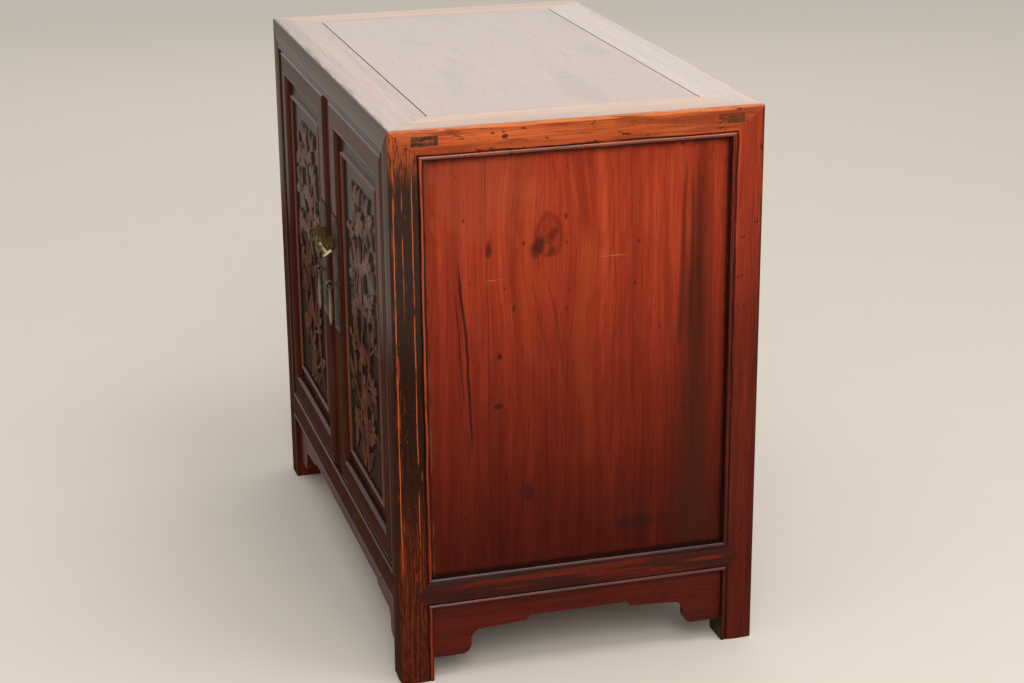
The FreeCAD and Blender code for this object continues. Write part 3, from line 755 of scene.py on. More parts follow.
@dataclass(frozen=True)
class Polish(Layer):
    """Line along a member that hands and cloths keep glossy."""

    axis: Axis
    at: float
    width: float
    weight: float

    def lay(self, surface: Surface) -> None:
        """Raise the gloss near the line."""
        near = abs(surface.along(self.axis) - self.at).fall(self.width * 0.6, self.width)
        surface.gloss = (near * self.weight).most(surface.gloss)


@dataclass(frozen=True)
class Dents(Layer):
    """Shallow uneven surface, from hand planing or hammering."""

    waves: Waves
    depth: float
    seed: float

    def lay(self, surface: Surface) -> None:
        """Add the unevenness to the height."""
        dents = surface.noise(self.waves, self.seed, 2.0)
        surface.height = dents * self.depth + surface.height


@dataclass(frozen=True)
class Finish:
    """A finish as plain values and the layers that go over them."""

    name: str
    base: Rgb
    layers: Layers
    roughness: float = 0.4
    specular: float = 0.4
    metallic: float = 0.0
    gloss: float = 0.0
    gloss_roughness: float = 0.18

    def material(self) -> bpy.types.Material:
        """Material with the layers in its nodes.

        Returns:
            The new material.
        """
        made = bpy.data.materials.new(self.name)
        made.use_nodes = True
        graph = Graph(made.node_tree)
        surface = Surface(graph, self)
        for layer in self.layers:
            layer.lay(surface)
        sockets = {
            "Base Color": opaque(surface.colour),
            "Roughness": surface.rough,
            "Metallic": self.metallic,
            "Specular IOR Level": self.specular,
            "Coat Weight": surface.gloss,
            "Coat Roughness": self.gloss_roughness,
        }
        if isinstance(surface.height, Wire):
            bump = {"Strength": 1.0, "Distance": MM, "Height": surface.height}
            sockets["Normal"] = graph.node("ShaderNodeBump", {}, bump)
        shader = graph.node("ShaderNodeBsdfPrincipled", {}, sockets)
        graph.node("ShaderNodeOutputMaterial", {}, {"Surface": shader})
        return made

    def dress(self, *nodes: str) -> None:
        """Give this finish to CAD nodes.

        Args:
            nodes: Names of the nodes.
        """
        made = self.material()
        for node in nodes:
            piece = bpy.data.objects[node]
            piece.data.materials.clear()
            piece.data.materials.append(made)
            LOG.info("%s wears %s", node, self.name)


def dark_finish(
    name: str, layers: Layers, gloss: float = 0.04, roughness: float = 0.36
) -> Finish:
    """Finish of a piece of the front, whose only sheen is the coat of its gloss."""
    return Finish(name, BROWN, layers, roughness=roughness, specular=0.0, gloss=gloss)


@dataclass
class Carcass:
    """Frame, aprons, top and inside boards, with the places that their finishes need."""

    side: float
    front: float
    back: float
    top: float
    leg: float = 0.046
    rail: float = 0.041
    rail_top: float = 0.151
    lower_rail_height: float = 0.043
    moulding: float = 0.003
    bead_groove: float = 0.0066
    bead_foot: float = 0.0002
    bead_crown: float = 0.0030
    bead_glint: float = 0.0027

    @classmethod
    def from_frame(cls) -> "Carcass":
        """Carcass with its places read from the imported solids.

        Returns:
            The carcass.
        """
        low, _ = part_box("leg_front_left")
        _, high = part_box("leg_back_right")
        _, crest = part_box("top_panel")
        return cls(high.x, low.y, high.y, crest.z)

    @property
    def middle(self) -> float:
        """Middle of the carcass from front to back."""
        return (self.front + self.back) / 2

    @property
    def panel_depths(self) -> Spot:
        """Front and back limit of what shows of a side panel."""
        return self.front + self.leg, self.back - self.leg

    @property
    def panel_levels(self) -> Spot:
        """Lower and upper limit of what shows of a side panel or the back."""
        return self.rail_top, self.top - self.rail

    def bead(
        self,
        axis: Axis,
        edge: float,
        inward: int,
        fibres: Axis,
        seed: float,
        colour: Rgb,
        gloss: float = 0.0,
    ) -> Layers:
        """Dark lines on both sides of a bead, dirt with painted shade in those creases, and a
        rubbed and glossy line along it.

        Args:
            axis: Direction across the bead.
            edge: Place of the member's edge that the bead runs along.
            inward: Sign of the direction from that edge into the member.
            fibres: Direction along the bead.
            seed: Moves the patterns.
            colour: Colour of the rubbed line.
            gloss: Gloss of the bead.

        Returns:
            The layers.
        """
        # The dark groove and foot lines are dirt with painted shade in the creases beside the
        # bead.
        # Distance from the edge, width, colour and how broken each line is.
        lines = (
            (self.bead_groove, 0.0021, GRIME_AND_SHADE, 0.38),
            (self.bead_foot, 0.0014, GRIME_AND_SHADE, 0.36),
            (self.bead_crown, 0.0017, colour, 0.36),
        )
        rubs = [
            Rub(
                axis, at=edge + inward * place, width=width, colour=tone, fibres=fibres,
                broken=broken, seed=seed + index,
            )
            for index, (place, width, tone, broken) in enumerate(lines)
        ]
        glint = edge + inward * self.bead_glint + 0.0012
        return (*rubs, Polish(axis, at=glint, width=0.0015, weight=gloss))

    def front_lacquer_and_shade(self, fibres: Axis, seed: float, red: float = 0.75) -> Layers:
        """Layers of the front: dark brown on the faces, the lacquer's red-brown darkened partly as
        painted shade, and red behind them.

        Args:
            fibres: Direction of the fibres.
            seed: Moves the patterns.
            red: How red the sides behind the face are.

        Returns:
            The layers, glossier near the top of the cabinet.
        """
        behind = (
            Fibre(fibres, UMBER, srgb(62, 28, 18), srgb(78, 36, 22), seed=seed, lines=0.3),
            Fade(
                Axis.DEEP, start=self.front, end=self.front + 0.001, colour=MAROON,
                strength=red, cloud=0.0,
            ),
        )
        return (
            # Dark brown faces: the lacquer's own tone, darkened as painted shade of the front.
            Fibre(fibres, UMBER, BROWN, BROWN_LIGHT, seed=seed, lines=0.25, depth=0.02),
            Specks(
                size=0.006, colour=GRIME_AND_SHADE, amount=0.12, strength=0.6, seed=seed + 1.0, axis=fibres
            ),
            Wear(
                fibres, srgb(88, 48, 33), amount=0.36, strength=0.45, across=90.0,
                lengthwise=12.0, seed=seed + 2.0,
            ),
            OnFace(Axis.DEEP, start=self.front + 0.006, end=self.front + 0.0075, layers=behind),
            Polish(Axis.UP, at=self.top, width=0.36, weight=0.36),
        )

    def leg_lines(self, seed: float) -> Layers:
        """Lines rubbed bare along the mouldings of a front leg's outer side.

        Args:
            seed: Moves the patterns.

        Returns:
            The layers, which leave out the foot of the leg.
        """
        lines = (
            Rub(
                Axis.DEEP, at=self.front + 0.0066, width=0.0042, colour=RUST, fibres=Axis.UP,
                strength=0.5, broken=0.62, seed=seed,
            ),
            Rub(
                Axis.DEEP, at=self.front + 0.0058, width=0.0009, colour=ORANGE, fibres=Axis.UP,
                seed=seed + 6.0,
            ),
            Rub(
                Axis.DEEP, at=self.front + 0.0305, width=0.0009, colour=ORANGE, fibres=Axis.UP,
                strength=0.8, broken=0.5, seed=seed + 2.0,
            ),
        )
        upper = Rub(
            Axis.DEEP, at=self.front + 0.0170, width=0.0008, colour=ORANGE, fibres=Axis.UP,
            strength=0.7, broken=0.5, seed=seed + 1.0,
        )
        return (
            OnFace(Axis.UP, start=0.5, end=0.6, layers=(upper,)),
            OnFace(Axis.UP, start=0.12, end=0.24, layers=lines),
        )

    def leg_wear(self, seed: float) -> Layers:
        """Layers of a front leg's outer side: orange above, blackened and rubbed below.

        Args:
            seed: Moves the patterns.

        Returns:
            The layers.
        """
        blackened = (
            Wear(Axis.UP, SOOT, amount=0.62, strength=0.92, across=130.0, seed=seed),
            Wear(
                Axis.UP, SOOT, amount=0.56, strength=0.85, across=520.0, lengthwise=26.0,
                seed=seed + 2.0,
            ),
        )
        low_bead = Rub(
            Axis.DEEP, at=self.front + self.leg - self.bead_crown, width=0.0022,
            colour=srgb(104, 36, 20), fibres=Axis.UP, strength=0.85, broken=0.3, seed=seed,
        )
        return (
            Fibre(
                Axis.UP, srgb(58, 25, 15), srgb(88, 36, 20), srgb(124, 50, 25), seed=seed,
                lines=0.5,
            ),
            Fade(
                Axis.UP, start=0.36, end=0.12, colour=srgb(106, 39, 21), strength=0.6,
                cloud=0.04, seed=seed,
            ),
            OnFace(Axis.UP, start=0.16, end=0.34, layers=blackened),
            Wear(
                Axis.UP, srgb(40, 20, 13), amount=0.5, strength=0.75, across=480.0,
                lengthwise=10.0, seed=seed + 8.0,
            ),
            Fade(
                Axis.UP, start=0.690, end=0.750, colour=srgb(172, 76, 33), strength=0.75,
                cloud=0.06, seed=seed + 1.0,
            ),
            Wear(
                Axis.UP, srgb(50, 23, 13), amount=0.47, strength=0.85, across=420.0,
                lengthwise=60.0, seed=seed + 6.0,
            ),
            Wear(
                Axis.UP, ORANGE, amount=0.28, strength=0.7, across=700.0, lengthwise=34.0,
                seed=seed + 4.0,
            ),
            Specks(
                size=0.0022, colour=srgb(140, 98, 60), amount=0.09, strength=0.4,
                seed=seed + 5.0,
            ),
            *self.leg_lines(seed),
            *self.bead(
                Axis.DEEP, edge=self.front + self.leg, inward=-1, fibres=Axis.UP,
                seed=seed + 9.0, colour=srgb(170, 65, 31),
            ),
            OnFace(Axis.UP, start=0.46, end=0.2, layers=(low_bead,)),
        )

    def front_leg(self, hand: Hand) -> Finish:
        """Finish of a front leg: dark in front, partly painted shade, and rubbed on its outer
        side.

        Args:
            hand: Which of the two.

        Returns:
            The finish.
        """
        seed = 3.0 * hand.value
        past = (self.side - 0.0045) * hand.value
        inner = hand.value * (self.side - self.leg + self.moulding)
        layers = (
            *self.front_lacquer_and_shade(Axis.UP, seed + 7.0),
            Polish(Axis.ACROSS, at=inner, width=0.003, weight=0.5),
            OnFace(
                Axis.ACROSS, start=past - 0.0012 * hand.value, end=past,
                layers=self.leg_wear(seed), roughness=0.46,
            ),
            Dents((40.0, 40.0, 9.0), depth=0.35, seed=seed),
        )
        return dark_finish(f"rubbed_leg_{hand.word}", layers)

    def back_leg(self, hand: Hand) -> Finish:
        """Finish of a back leg: orange above, deep red below, the darkening downwards partly
        painted shade, with a few chips.

        Args:
            hand: Which of the two.

        Returns:
            The finish.
        """
        seed = 11.0 * hand.value
        layers = (
            Fibre(Axis.UP, RED_DARK, RED, srgb(190, 84, 40), seed=seed, lines=0.45),
            # Darker downwards: partly the lacquer's own tone, partly painted shade.
            Fade(
                Axis.UP, start=0.78, end=0.40, colour=SHADE_BACK, cloud=0.02, seed=seed,
                mode=Blend.TIMES,
            ),
            Fade(
                Axis.UP, start=0.42, end=0.08, colour=SHADE, strength=0.9, cloud=0.03,
                seed=seed + 2.0, mode=Blend.TIMES,
            ),
            *self.bead(
                Axis.DEEP, edge=self.back - self.leg, inward=1, fibres=Axis.UP,
                seed=seed + 9.0, colour=OXBLOOD,
            ),
            Rub(
                Axis.DEEP, at=self.back - 0.003, width=0.003, colour=UMBER, fibres=Axis.UP,
                strength=0.7, broken=0.46, seed=seed + 2.0,
            ),
            Specks(size=0.008, colour=GRIME_AND_SHADE, amount=0.11, strength=0.7, seed=seed),
            Dents((40.0, 40.0, 9.0), depth=0.3, seed=seed),
        )
        return Finish(f"red_leg_{hand.word}", MAROON, layers, roughness=0.36, specular=0.1)

    def top_layers(self, fibres: Axis, seed: float, dark: Rgb, main: Rgb) -> Layers:
        """Layers of the pale, waxed top, its worn tone lightened in part as painted reflection of
        glare.

        Args:
            fibres: Direction of the fibres.
            seed: Moves the patterns.
            dark, main: Colours of the grain, under one warm light tone.

        Returns:
            The layers.
        """
        return (
            Fibre(fibres, dark, main, PALE_WARM, seed=seed, lines=0.12, depth=0.015),
            Specks(
                size=0.008, colour=srgb(92, 62, 48), amount=0.1, strength=0.5, seed=seed,
                axis=fibres,
            ),
        )

    def rail_ends(self, seed: float) -> Layers:
        """Darkened end grain of a long rail's tenons, where they show on the sides.

        Args:
            seed: Moves the patterns.

        Returns:
            The layers, one for each end.
        """
        end_grain = (
            Fibre(
                Axis.DEEP, srgb(84, 38, 20), srgb(110, 51, 26), srgb(150, 70, 32),
                seed=seed + 4.0, lines=0.4,
            ),
            Wear(
                Axis.DEEP, GRIME_AND_SHADE, amount=0.44, strength=0.8, across=150.0, lengthwise=50.0,
                seed=seed + 4.0,
            ),
            Wear(
                Axis.DEEP, ORANGE, amount=0.4, strength=0.6, across=120.0, lengthwise=60.0,
                seed=seed + 6.0,
            ),
        )
        return tuple(
            OnFace(
                Axis.ACROSS, start=hand.value * (self.side - 0.0032),
                end=hand.value * (self.side - 0.0022), layers=end_grain,
            )
            for hand in Hand
        )

    def rail_crest(self, place: Place, seed: float) -> OnFace:
        """Pale upper face of a top rail, lightened in part as painted reflection of glare, nibbled
        along its outer edge.

        Args:
            place: Which of the four rails.
            seed: Moves the patterns.

        Returns:
            The layer.
        """
        across = Axis.DEEP if place.lengthwise else Axis.ACROSS
        edges = dict(zip(Place, (self.front, self.back, -self.side, self.side)))
        nibble = srgb(74, 46, 34) if place is Place.FRONT else srgb(168, 92, 52)
        tones = srgb(160, 126, 102), srgb(188, 148, 117)
        if place.lengthwise:
            tones = srgb(152, 131, 116), srgb(174, 152, 136)
        pale_with_glare = (
            *self.top_layers(place.fibres, seed, *tones),
            Rub(
                across, at=edges[place], width=0.0090, colour=nibble, fibres=place.fibres,
                strength=0.6, broken=0.46, seed=seed + 1.0,
            ),
            Rub(
                across, at=edges[place], width=0.0040, colour=nibble, fibres=place.fibres,
                broken=0.37, seed=seed + 2.0,
            ),
        )
        return OnFace(
            Axis.UP, start=self.top - 0.0022, end=self.top - 0.0004, layers=pale_with_glare,
            gloss=0.6 if place.lengthwise else 0.45, roughness=0.42,
        )

    def front_top_rail(self) -> Finish:
        """Finish of the front top rail: dark, partly painted shade, and glossy under its pale
        upper face.

        Returns:
            The finish.
        """
        seed = TOP_RAIL_SEEDS[Place.FRONT]
        low_edge = self.top - self.rail + self.moulding
        layers = (
            *self.front_lacquer_and_shade(Axis.ACROSS, seed),
            *self.rail_ends(seed),
            Wear(
                Axis.ACROSS, GRIME_AND_SHADE, amount=0.45, strength=0.6, across=240.0, lengthwise=240.0,
                seed=seed,
            ),
            Polish(Axis.UP, at=low_edge, width=0.003, weight=0.6),
            self.rail_crest(Place.FRONT, seed),
            Dents((12.0, 40.0, 40.0), depth=0.3, seed=seed),
        )
        return dark_finish("dark_top_rail", layers, gloss=0.6)

    def top_rail(self, place: Place) -> Finish:
        """Finish of a top rail: bleached on top, and orange at the sides and behind.

        Args:
            place: Which of the four, of which the front one is dark.

        Returns:
            The finish.
        """
        if place is Place.FRONT:
            return self.front_top_rail()
        seed, fibres = TOP_RAIL_SEEDS[place], place.fibres
        layers = (
            Fibre(
                fibres, srgb(146, 60, 26), srgb(184, 84, 38), srgb(206, 114, 58), seed=seed,
                lines=0.5,
            ),
            Fade(
                Axis.UP, start=self.top - 0.020, end=self.top - 0.040,
                colour=srgb(164, 60, 26), strength=0.7, cloud=0.03, seed=seed,
            ),
            Wear(fibres, srgb(124, 50, 22), amount=0.48, strength=0.7, seed=seed + 5.0),
            Wear(
                fibres, GRIME_AND_SHADE, amount=0.33, strength=0.85, across=150.0, lengthwise=45.0,
                seed=seed + 2.0,
            ),
            Specks(
                size=0.011, colour=GRIME_AND_SHADE, amount=0.16, strength=0.85, seed=seed, depth=0.2,
                axis=fibres,
            ),
            Specks(
                size=0.004, colour=UMBER, amount=0.13, strength=0.7, seed=seed + 3.0, depth=0.1,
                axis=fibres,
            ),
            *self.bead(
                Axis.UP, edge=self.top - self.rail, inward=1, fibres=fibres, seed=seed + 9.0,
                colour=srgb(98, 52, 35), gloss=0.9,
            ),
            *(self.rail_ends(seed) if place.lengthwise else ()),
            Rub(
                Axis.UP, at=self.top - 0.003, width=0.0022, colour=AMBER, fibres=fibres,
                strength=0.8, broken=0.42, seed=seed,
            ),
            self.rail_crest(place, seed),
            Dents((40.0, 12.0, 40.0), depth=0.3, seed=seed),
        )
        name = f"orange_top_rail_{place.value}"
        return Finish(name, ORANGE, layers, roughness=0.34, specular=0.14)

    def front_lower_rail(self) -> Finish:
        """Finish of the front lower rail: dark, partly painted shade, with glints along its edges.

        Returns:
            The finish.
        """
        seed = LOWER_RAIL_SEEDS[Place.FRONT]
        low_edge = self.rail_top - self.lower_rail_height + self.moulding
        edges = (self.rail_top, self.rail_top - self.moulding, low_edge)
        layers = (
            *self.front_lacquer_and_shade(Axis.ACROSS, seed, red=0.0),
            *(Polish(Axis.UP, at=edge, width=0.0024, weight=0.5) for edge in edges),
            Dents((9.0, 40.0, 40.0), depth=0.3, seed=seed),
        )
        return dark_finish("dark_lower_rail", layers, roughness=0.34)

    def lower_rail(self, place: Place) -> Finish:
        """Finish of a lower rail: deep red with blackened patches.

        Args:
            place: Which of the four, of which the front one is dark.

        Returns:
            The finish.
        """
        if place is Place.FRONT:
            return self.front_lower_rail()
        seed, fibres = LOWER_RAIL_SEEDS[place], place.fibres
        layers = (
            Fibre(fibres, OXBLOOD, srgb(82, 24, 13), srgb(110, 36, 19), seed=seed, lines=0.4),
            Wear(fibres, GRIME_AND_SHADE, amount=0.52, strength=0.65, lengthwise=7.0, seed=seed),
            *self.bead(
                Axis.UP, edge=self.rail_top, inward=-1, fibres=fibres, seed=seed + 7.0,
                colour=srgb(70, 34, 30), gloss=0.9,
            ),
            *self.bead(
                Axis.UP, edge=self.rail_top - self.lower_rail_height, inward=1, fibres=fibres,
                seed=seed + 9.0, colour=srgb(96, 48, 38), gloss=0.8,
            ),
            Specks(size=0.005, colour=GRIME_AND_SHADE, amount=0.12, strength=0.6, seed=seed, axis=fibres),
            Dents((40.0, 14.0, 40.0), depth=0.3, seed=seed),
        )
        name = f"red_lower_rail_{place.value}"
        return Finish(name, MAROON, layers, roughness=0.26, specular=0.1)

    def apron(self, place: Place) -> Finish:
        """Finish of an apron: plain deep red, with painted shade just under the rail.

        Args:
            place: Which of the four.

        Returns:
            The finish.
        """
        seed, fibres = APRON_SEEDS[place], place.fibres
        layers = (
            Fibre(
                fibres, srgb(62, 16, 8), srgb(80, 22, 11), srgb(98, 30, 15), seed=seed,
                lines=0.3,
            ),
            # Painted shade just under the overhanging lower rail.
            Fade(
                Axis.UP, start=self.rail_top - 0.052, end=self.rail_top - 0.040, colour=GRIME_AND_SHADE,
                strength=0.6, cloud=0.02, seed=seed,
            ),
            Specks(size=0.006, colour=GRIME_AND_SHADE, amount=0.13, strength=0.6, seed=seed, axis=fibres),
            Dents((18.0, 18.0, 30.0), depth=0.3, seed=seed),
        )
        name = f"red_apron_{place.value}"
        return Finish(name, MAROON, layers, roughness=0.4, specular=0.09)

    def top_panel(self) -> Finish:
        """Finish of the top panel: pale board, lightened in part as painted reflection of glare,
        with faint water marks and scratches.

        Returns:
            The finish.
        """
        # Place across and from the middle, and reach both ways.
        marks = (
            (-0.07, -0.04, 0.05, 0.0016),
            (0.02, 0.10, 0.03, 0.0012),
            (0.17, 0.05, 0.003, 0.022),
            (-0.2, 0.06, 0.05, 0.0013),
        )
        scratches = [
            Blot(
                Axis.ACROSS, (x, self.middle + y), reach=(wide, deep), colour=srgb(84, 66, 57),
                strength=0.6, seed=9.0 * x, second=Axis.DEEP,
            )
            for x, y, wide, deep in marks
        ]
        layers = (
            *self.top_layers(Axis.ACROSS, 71.0, PALE_HIGHLIGHT_GREY, PALE),
            # Paler and greyer towards the left: painted reflection of glare.
            Fade(
                Axis.ACROSS, start=0.1, end=-0.35, colour=PALE_HIGHLIGHT_GREY, strength=0.5, cloud=0.08,
                seed=5.0,
            ),
            Wear(
                Axis.ACROSS, srgb(118, 96, 84), amount=0.42, strength=0.35, across=14.0,
                lengthwise=5.0, seed=8.0,
            ),
            Wear(
                Axis.ACROSS, srgb(96, 74, 62), amount=0.3, strength=0.5, across=60.0,
                lengthwise=16.0, seed=12.0,
            ),
            *scratches,
            Dents((7.0, 20.0, 20.0), depth=0.4, seed=3.0),
        )
        return Finish("pale_glare_top_panel", PALE, layers, roughness=0.42, gloss=0.52)

    def inner_board(self, fibres: Axis, seed: float) -> Finish:
        """Finish of the unseen boards: bare wood that has darkened.

        Args:
            fibres: Direction of the fibres.
            seed: Moves the patterns.

        Returns:
            The finish.
        """
        layers = (
            Fibre(
                fibres, srgb(122, 84, 56), srgb(142, 101, 68), srgb(156, 114, 79), seed=seed,
                lines=0.3, depth=0.06,
            ),
            Wear(
                fibres, srgb(96, 64, 44), amount=0.42, strength=0.3, across=40.0,
                lengthwise=5.0, seed=seed,
            ),
            Specks(
                size=0.007, colour=srgb(60, 38, 26), amount=0.12, strength=0.6, seed=seed,
                axis=fibres,
            ),
            Dents((24.0, 24.0, 24.0), depth=0.3, seed=seed),
        )
        name = f"bare_board_{fibres.name.lower()}"
        return Finish(name, srgb(150, 106, 70), layers, roughness=0.6, specular=0.3)

    def back_board(self) -> Finish:
        """Finish of the back panel: edge-joined boards under a thin brown wash.

        Returns:
            The finish.
        """
        # Level of each joint, and the colour and strength of the board above it.
        boards = (
            (0.29, srgb(90, 58, 40), 0.4),
            (0.46, srgb(104, 64, 42), 0.4),
            (0.61, srgb(84, 52, 36), 0.45),
        )
        washes = [
            Fade(
                Axis.UP, start=round(level - 0.005, 3), end=round(level + 0.005, 3),
                colour=colour, strength=strength, cloud=0.0,
            )
            for level, colour, strength in boards
        ]
        joints = [
            Rub(
                Axis.UP, at=level, width=0.0009, colour=GRIME_AND_SHADE, fibres=Axis.ACROSS, broken=0.3,
                seed=60.0 * level,
            )
            for level, _, _ in boards
        ]
        widths = (self.leg - self.side, self.side - self.leg)
        layers = (
            Fibre(
                Axis.ACROSS, srgb(78, 48, 32), srgb(98, 61, 41), srgb(112, 73, 50), seed=81.0,
                depth=0.06,
            ),
            *washes,
            Wear(
                Axis.ACROSS, srgb(62, 38, 26), amount=0.42, strength=0.3, across=50.0,
                lengthwise=6.0, seed=82.0,
            ),
            *joints,
            Specks(
                size=0.007, colour=srgb(50, 31, 22), amount=0.1, strength=0.6, seed=83.0,
                axis=Axis.ACROSS,
            ),
            # Darker along the frame's edges: dirt with painted shade of the recess.
            DirtAndShade(Axis.ACROSS, widths, reach=0.012, colour=GRIME_AND_SHADE, strength=0.6, seed=84.0),
            DirtAndShade(
                Axis.UP, self.panel_levels, reach=0.012, colour=GRIME_AND_SHADE, strength=0.6, seed=85.0
            ),
            Dents((24.0, 24.0, 24.0), depth=0.3, seed=86.0),
        )
        name = "washed_back_board"
        return Finish(name, srgb(98, 61, 41), layers, roughness=0.55, specular=0.2)

    def dress(self) -> None:
        """Dress every node of the carcass."""
        for hand in Hand:
            SidePanel(hand, self).finish().dress(f"panel_{hand.word}")
            self.front_leg(hand).dress(f"leg_front_{hand.word}")
            self.back_leg(hand).dress(f"leg_back_{hand.word}")
        for place in Place:
            self.top_rail(place).dress(f"top_rail_{place.value}")
            self.lower_rail(place).dress(f"lower_rail_{place.value}")
            self.apron(place).dress(f"apron_{place.value}")
        self.top_panel().dress("top_panel")
        self.back_board().dress("panel_back")
        self.inner_board(Axis.ACROSS, 81.0).dress("bottom_panel", "shelf", "back_batten")
        pairs = ("top_batten", "bottom_batten", "shelf_bearer")
        deep = [f"{name}_{hand.word}" for name in pairs for hand in Hand]
        self.inner_board(Axis.DEEP, 83.0).dress(*deep)
        dark_finish("dark_post", self.front_lacquer_and_shade(Axis.UP, 87.0)).dress("centre_post")


@dataclass
class SidePanel:
    """Board between the legs of a side: one upright plank with a knot, cracks and a dark band."""

    hand: Hand
    carcass: Carcass

    @property
    def seed(self) -> float:
        """Number that moves the patterns, so that the two boards differ."""
        return 0.0 if self.hand is Hand.RIGHT else 21.0

    @property
    def knot(self) -> Spot:
        """Place of the knot."""
        return self.spot(-40.0, 610.0) if self.hand is Hand.RIGHT else self.spot(-62.0, 356.0)

    def spot(self, across: float, level: float) -> Spot:
        """Place on the board from millimetres, mirrored on the left-hand board."""
        return self.carcass.middle + self.hand.value * across * MM, level * MM

    def streak(self, first: Spot, last: Spot, **looks: Union[float, Rgb]) -> Stroke:
        """Stroke between two places on the board, in millimetres."""
        return Stroke(Axis.DEEP, self.spot(*first), self.spot(*last), **looks)

    def stain(self, centre: Spot, reach: Spot, **looks: Union[float, Rgb]) -> Blot:
        """Blot at a place on the board, in millimetres, with its reach in metres."""
        return Blot(Axis.DEEP, self.spot(*centre), reach, **looks)

    def stains(self, rows: tuple, colour: Rgb, shift: int) -> Layers:
        """Blots of one colour.

        Args:
            rows: Place in millimetres, reach in metres and strength of each.
            colour: The colour.
            shift: Shift of the first one's seed.

        Returns:
            The layers.
        """
        return tuple(
            self.stain(place, reach, colour=colour, strength=strength, seed=self.seed + index)
            for index, (place, reach, strength) in enumerate(rows, shift)
        )

    def grain(self) -> Layers:
        """Red grain round the knot, with two lighter streaks, darker downwards partly by painted
        shade.

        Returns:
            The layers.
        """
        seed = self.seed
        return (
            Swirl(Axis.DEEP, self.knot, reach=(0.05, 0.09), push=0.9),
            Fibre(Axis.UP, RED_DARK, RED, RED_LIGHT, seed=seed, lines=0.28),
            self.stain(
                (-140.0, 690.0), (0.12, 0.1), colour=srgb(156, 78, 54), strength=0.25,
                seed=seed + 8.0,
            ),
            self.streak(
                (12.0, 640.0), (8.0, 260.0), width=0.016, colour=ORANGE, strength=0.3,
                wander=0.005, soft=0.0, seed=1.0,
            ),
            self.streak(
                (-70.0, 740.0), (-66.0, 420.0), width=0.014, colour=ORANGE, strength=0.16,
                wander=0.005, soft=0.0, seed=2.0,
            ),
            # Darker downwards: partly the lacquer's own tone, partly painted shade.
            Fade(
                Axis.UP, start=0.66, end=0.36, colour=SHADE, cloud=0.02, seed=seed,
                mode=Blend.TIMES,
            ),
            Fade(
                Axis.UP, start=0.46, end=0.15, colour=SHADE_DEEP, cloud=0.02, seed=seed + 1.0,
                mode=Blend.TIMES,
            ),
        )

    def band(self) -> Layers:
        """Dark band down the back edge, with three thin streaks over its upper end.

        Returns:
            The layers.
        """
        dark = srgb(56, 22, 11)
        # First and last place, width, strength, flare and seed.
        streaks = (
            ((148.0, 716.0), (142.0, 430.0), 0.0035, 0.6, 1.5, 0.0),
            ((157.0, 700.0), (158.0, 440.0), 0.0030, 0.5, 2.0, 2.0),
            ((166.0, 722.0), (172.0, 420.0), 0.0030, 0.5, 2.0, 6.0),
        )
        thin = [
            self.streak(
                first, last, width=width, colour=dark, strength=strength, wander=0.002,
                soft=0.0, flare=flare, seed=seed,
            )
            for first, last, width, strength, flare, seed in streaks
        ]
        return (
            self.streak(
                (168.0, 760.0), (170.0, -160.0), width=0.030, colour=dark, wander=0.003,
                soft=-0.4, flare=0.9,
            ),
            self.streak(
                (158.0, 620.0), (168.0, -40.0), width=0.022, colour=dark, strength=0.72,
                wander=0.003, soft=-0.3, flare=1.6, seed=3.0,
            ),
            *thin,
        )

    def cracks(self) -> Layers:
        """Black cracks near the front edge, and dark lines under the knot.

        Returns:
            The layers.
        """
        # First and last place, width, colour, strength, wander, softness and seed.
        lines = (
            ((-163.0, 600.0), (-146.0, 310.0), 0.0026, GRIME_AND_SHADE, 0.85, 0.003, 0.3, 0.0),
            ((-166.0, 560.0), (-156.0, 380.0), 0.0016, GRIME_AND_SHADE, 0.6, 0.003, 0.3, 4.0),
            ((-126.0, 800.0), (-122.0, 90.0), 0.0011, GRIME_AND_SHADE, 0.45, 0.0015, 0.3, 0.0),
            ((-44.0, 566.0), (-12.0, 380.0), 0.0022, RED_DEEP, 0.55, 0.003, 0.2, 0.0),
            ((-64.0, 560.0), (-32.0, 400.0), 0.0018, RED_DEEP, 0.5, 0.003, 0.2, 3.0),
            ((52.0, 690.0), (47.0, 240.0), 0.0018, RED_DEEP, 0.5, 0.003, 0.2, 5.0),
        )
        return tuple(
            self.streak(
                first, last, width=width, colour=colour, strength=strength, wander=wander,
                soft=soft, seed=seed,
            )
            for first, last, width, colour, strength, wander, soft, seed in lines
        )

    def marks(self) -> Layers:
        """Stains, pits and two pale scratches.

        Returns:
            The layers.
        """
        dark = (
            ((85.0, 196.0), (0.042, 0.016), 0.45),
            ((-122.0, 603.0), (0.005, 0.014), 0.65),
            ((-70.0, 262.0), (0.012, 0.02), 0.5),
            ((-108.0, 456.0), (0.004, 0.005), 0.8),
            ((-110.0, 386.0), (0.009, 0.005), 0.65),
        )
        pale = (
            ((46.0, 581.0), (0.022, 0.0008), 0.6),
            ((-116.0, 562.0), (0.016, 0.0007), 0.5),
        )
        return (
            *self.stains(dark, GRIME_AND_SHADE, 0),
            Specks(size=0.011, colour=GRIME_AND_SHADE, amount=0.075, strength=0.6, seed=self.seed + 4.0),
            Specks(size=0.0045, colour=GRIME_AND_SHADE, amount=0.075, strength=0.55, seed=self.seed + 9.0),
            *self.stains(pale, STRAW, len(dark)),
        )

    def edges(self) -> Layers:
        """Darkening along the frame, red at first and black close by, dirt with painted shade of
        the recess, and a line rubbed in front.

        Returns:
            The layers.
        """
        depths, levels = self.carcass.panel_depths, self.carcass.panel_levels
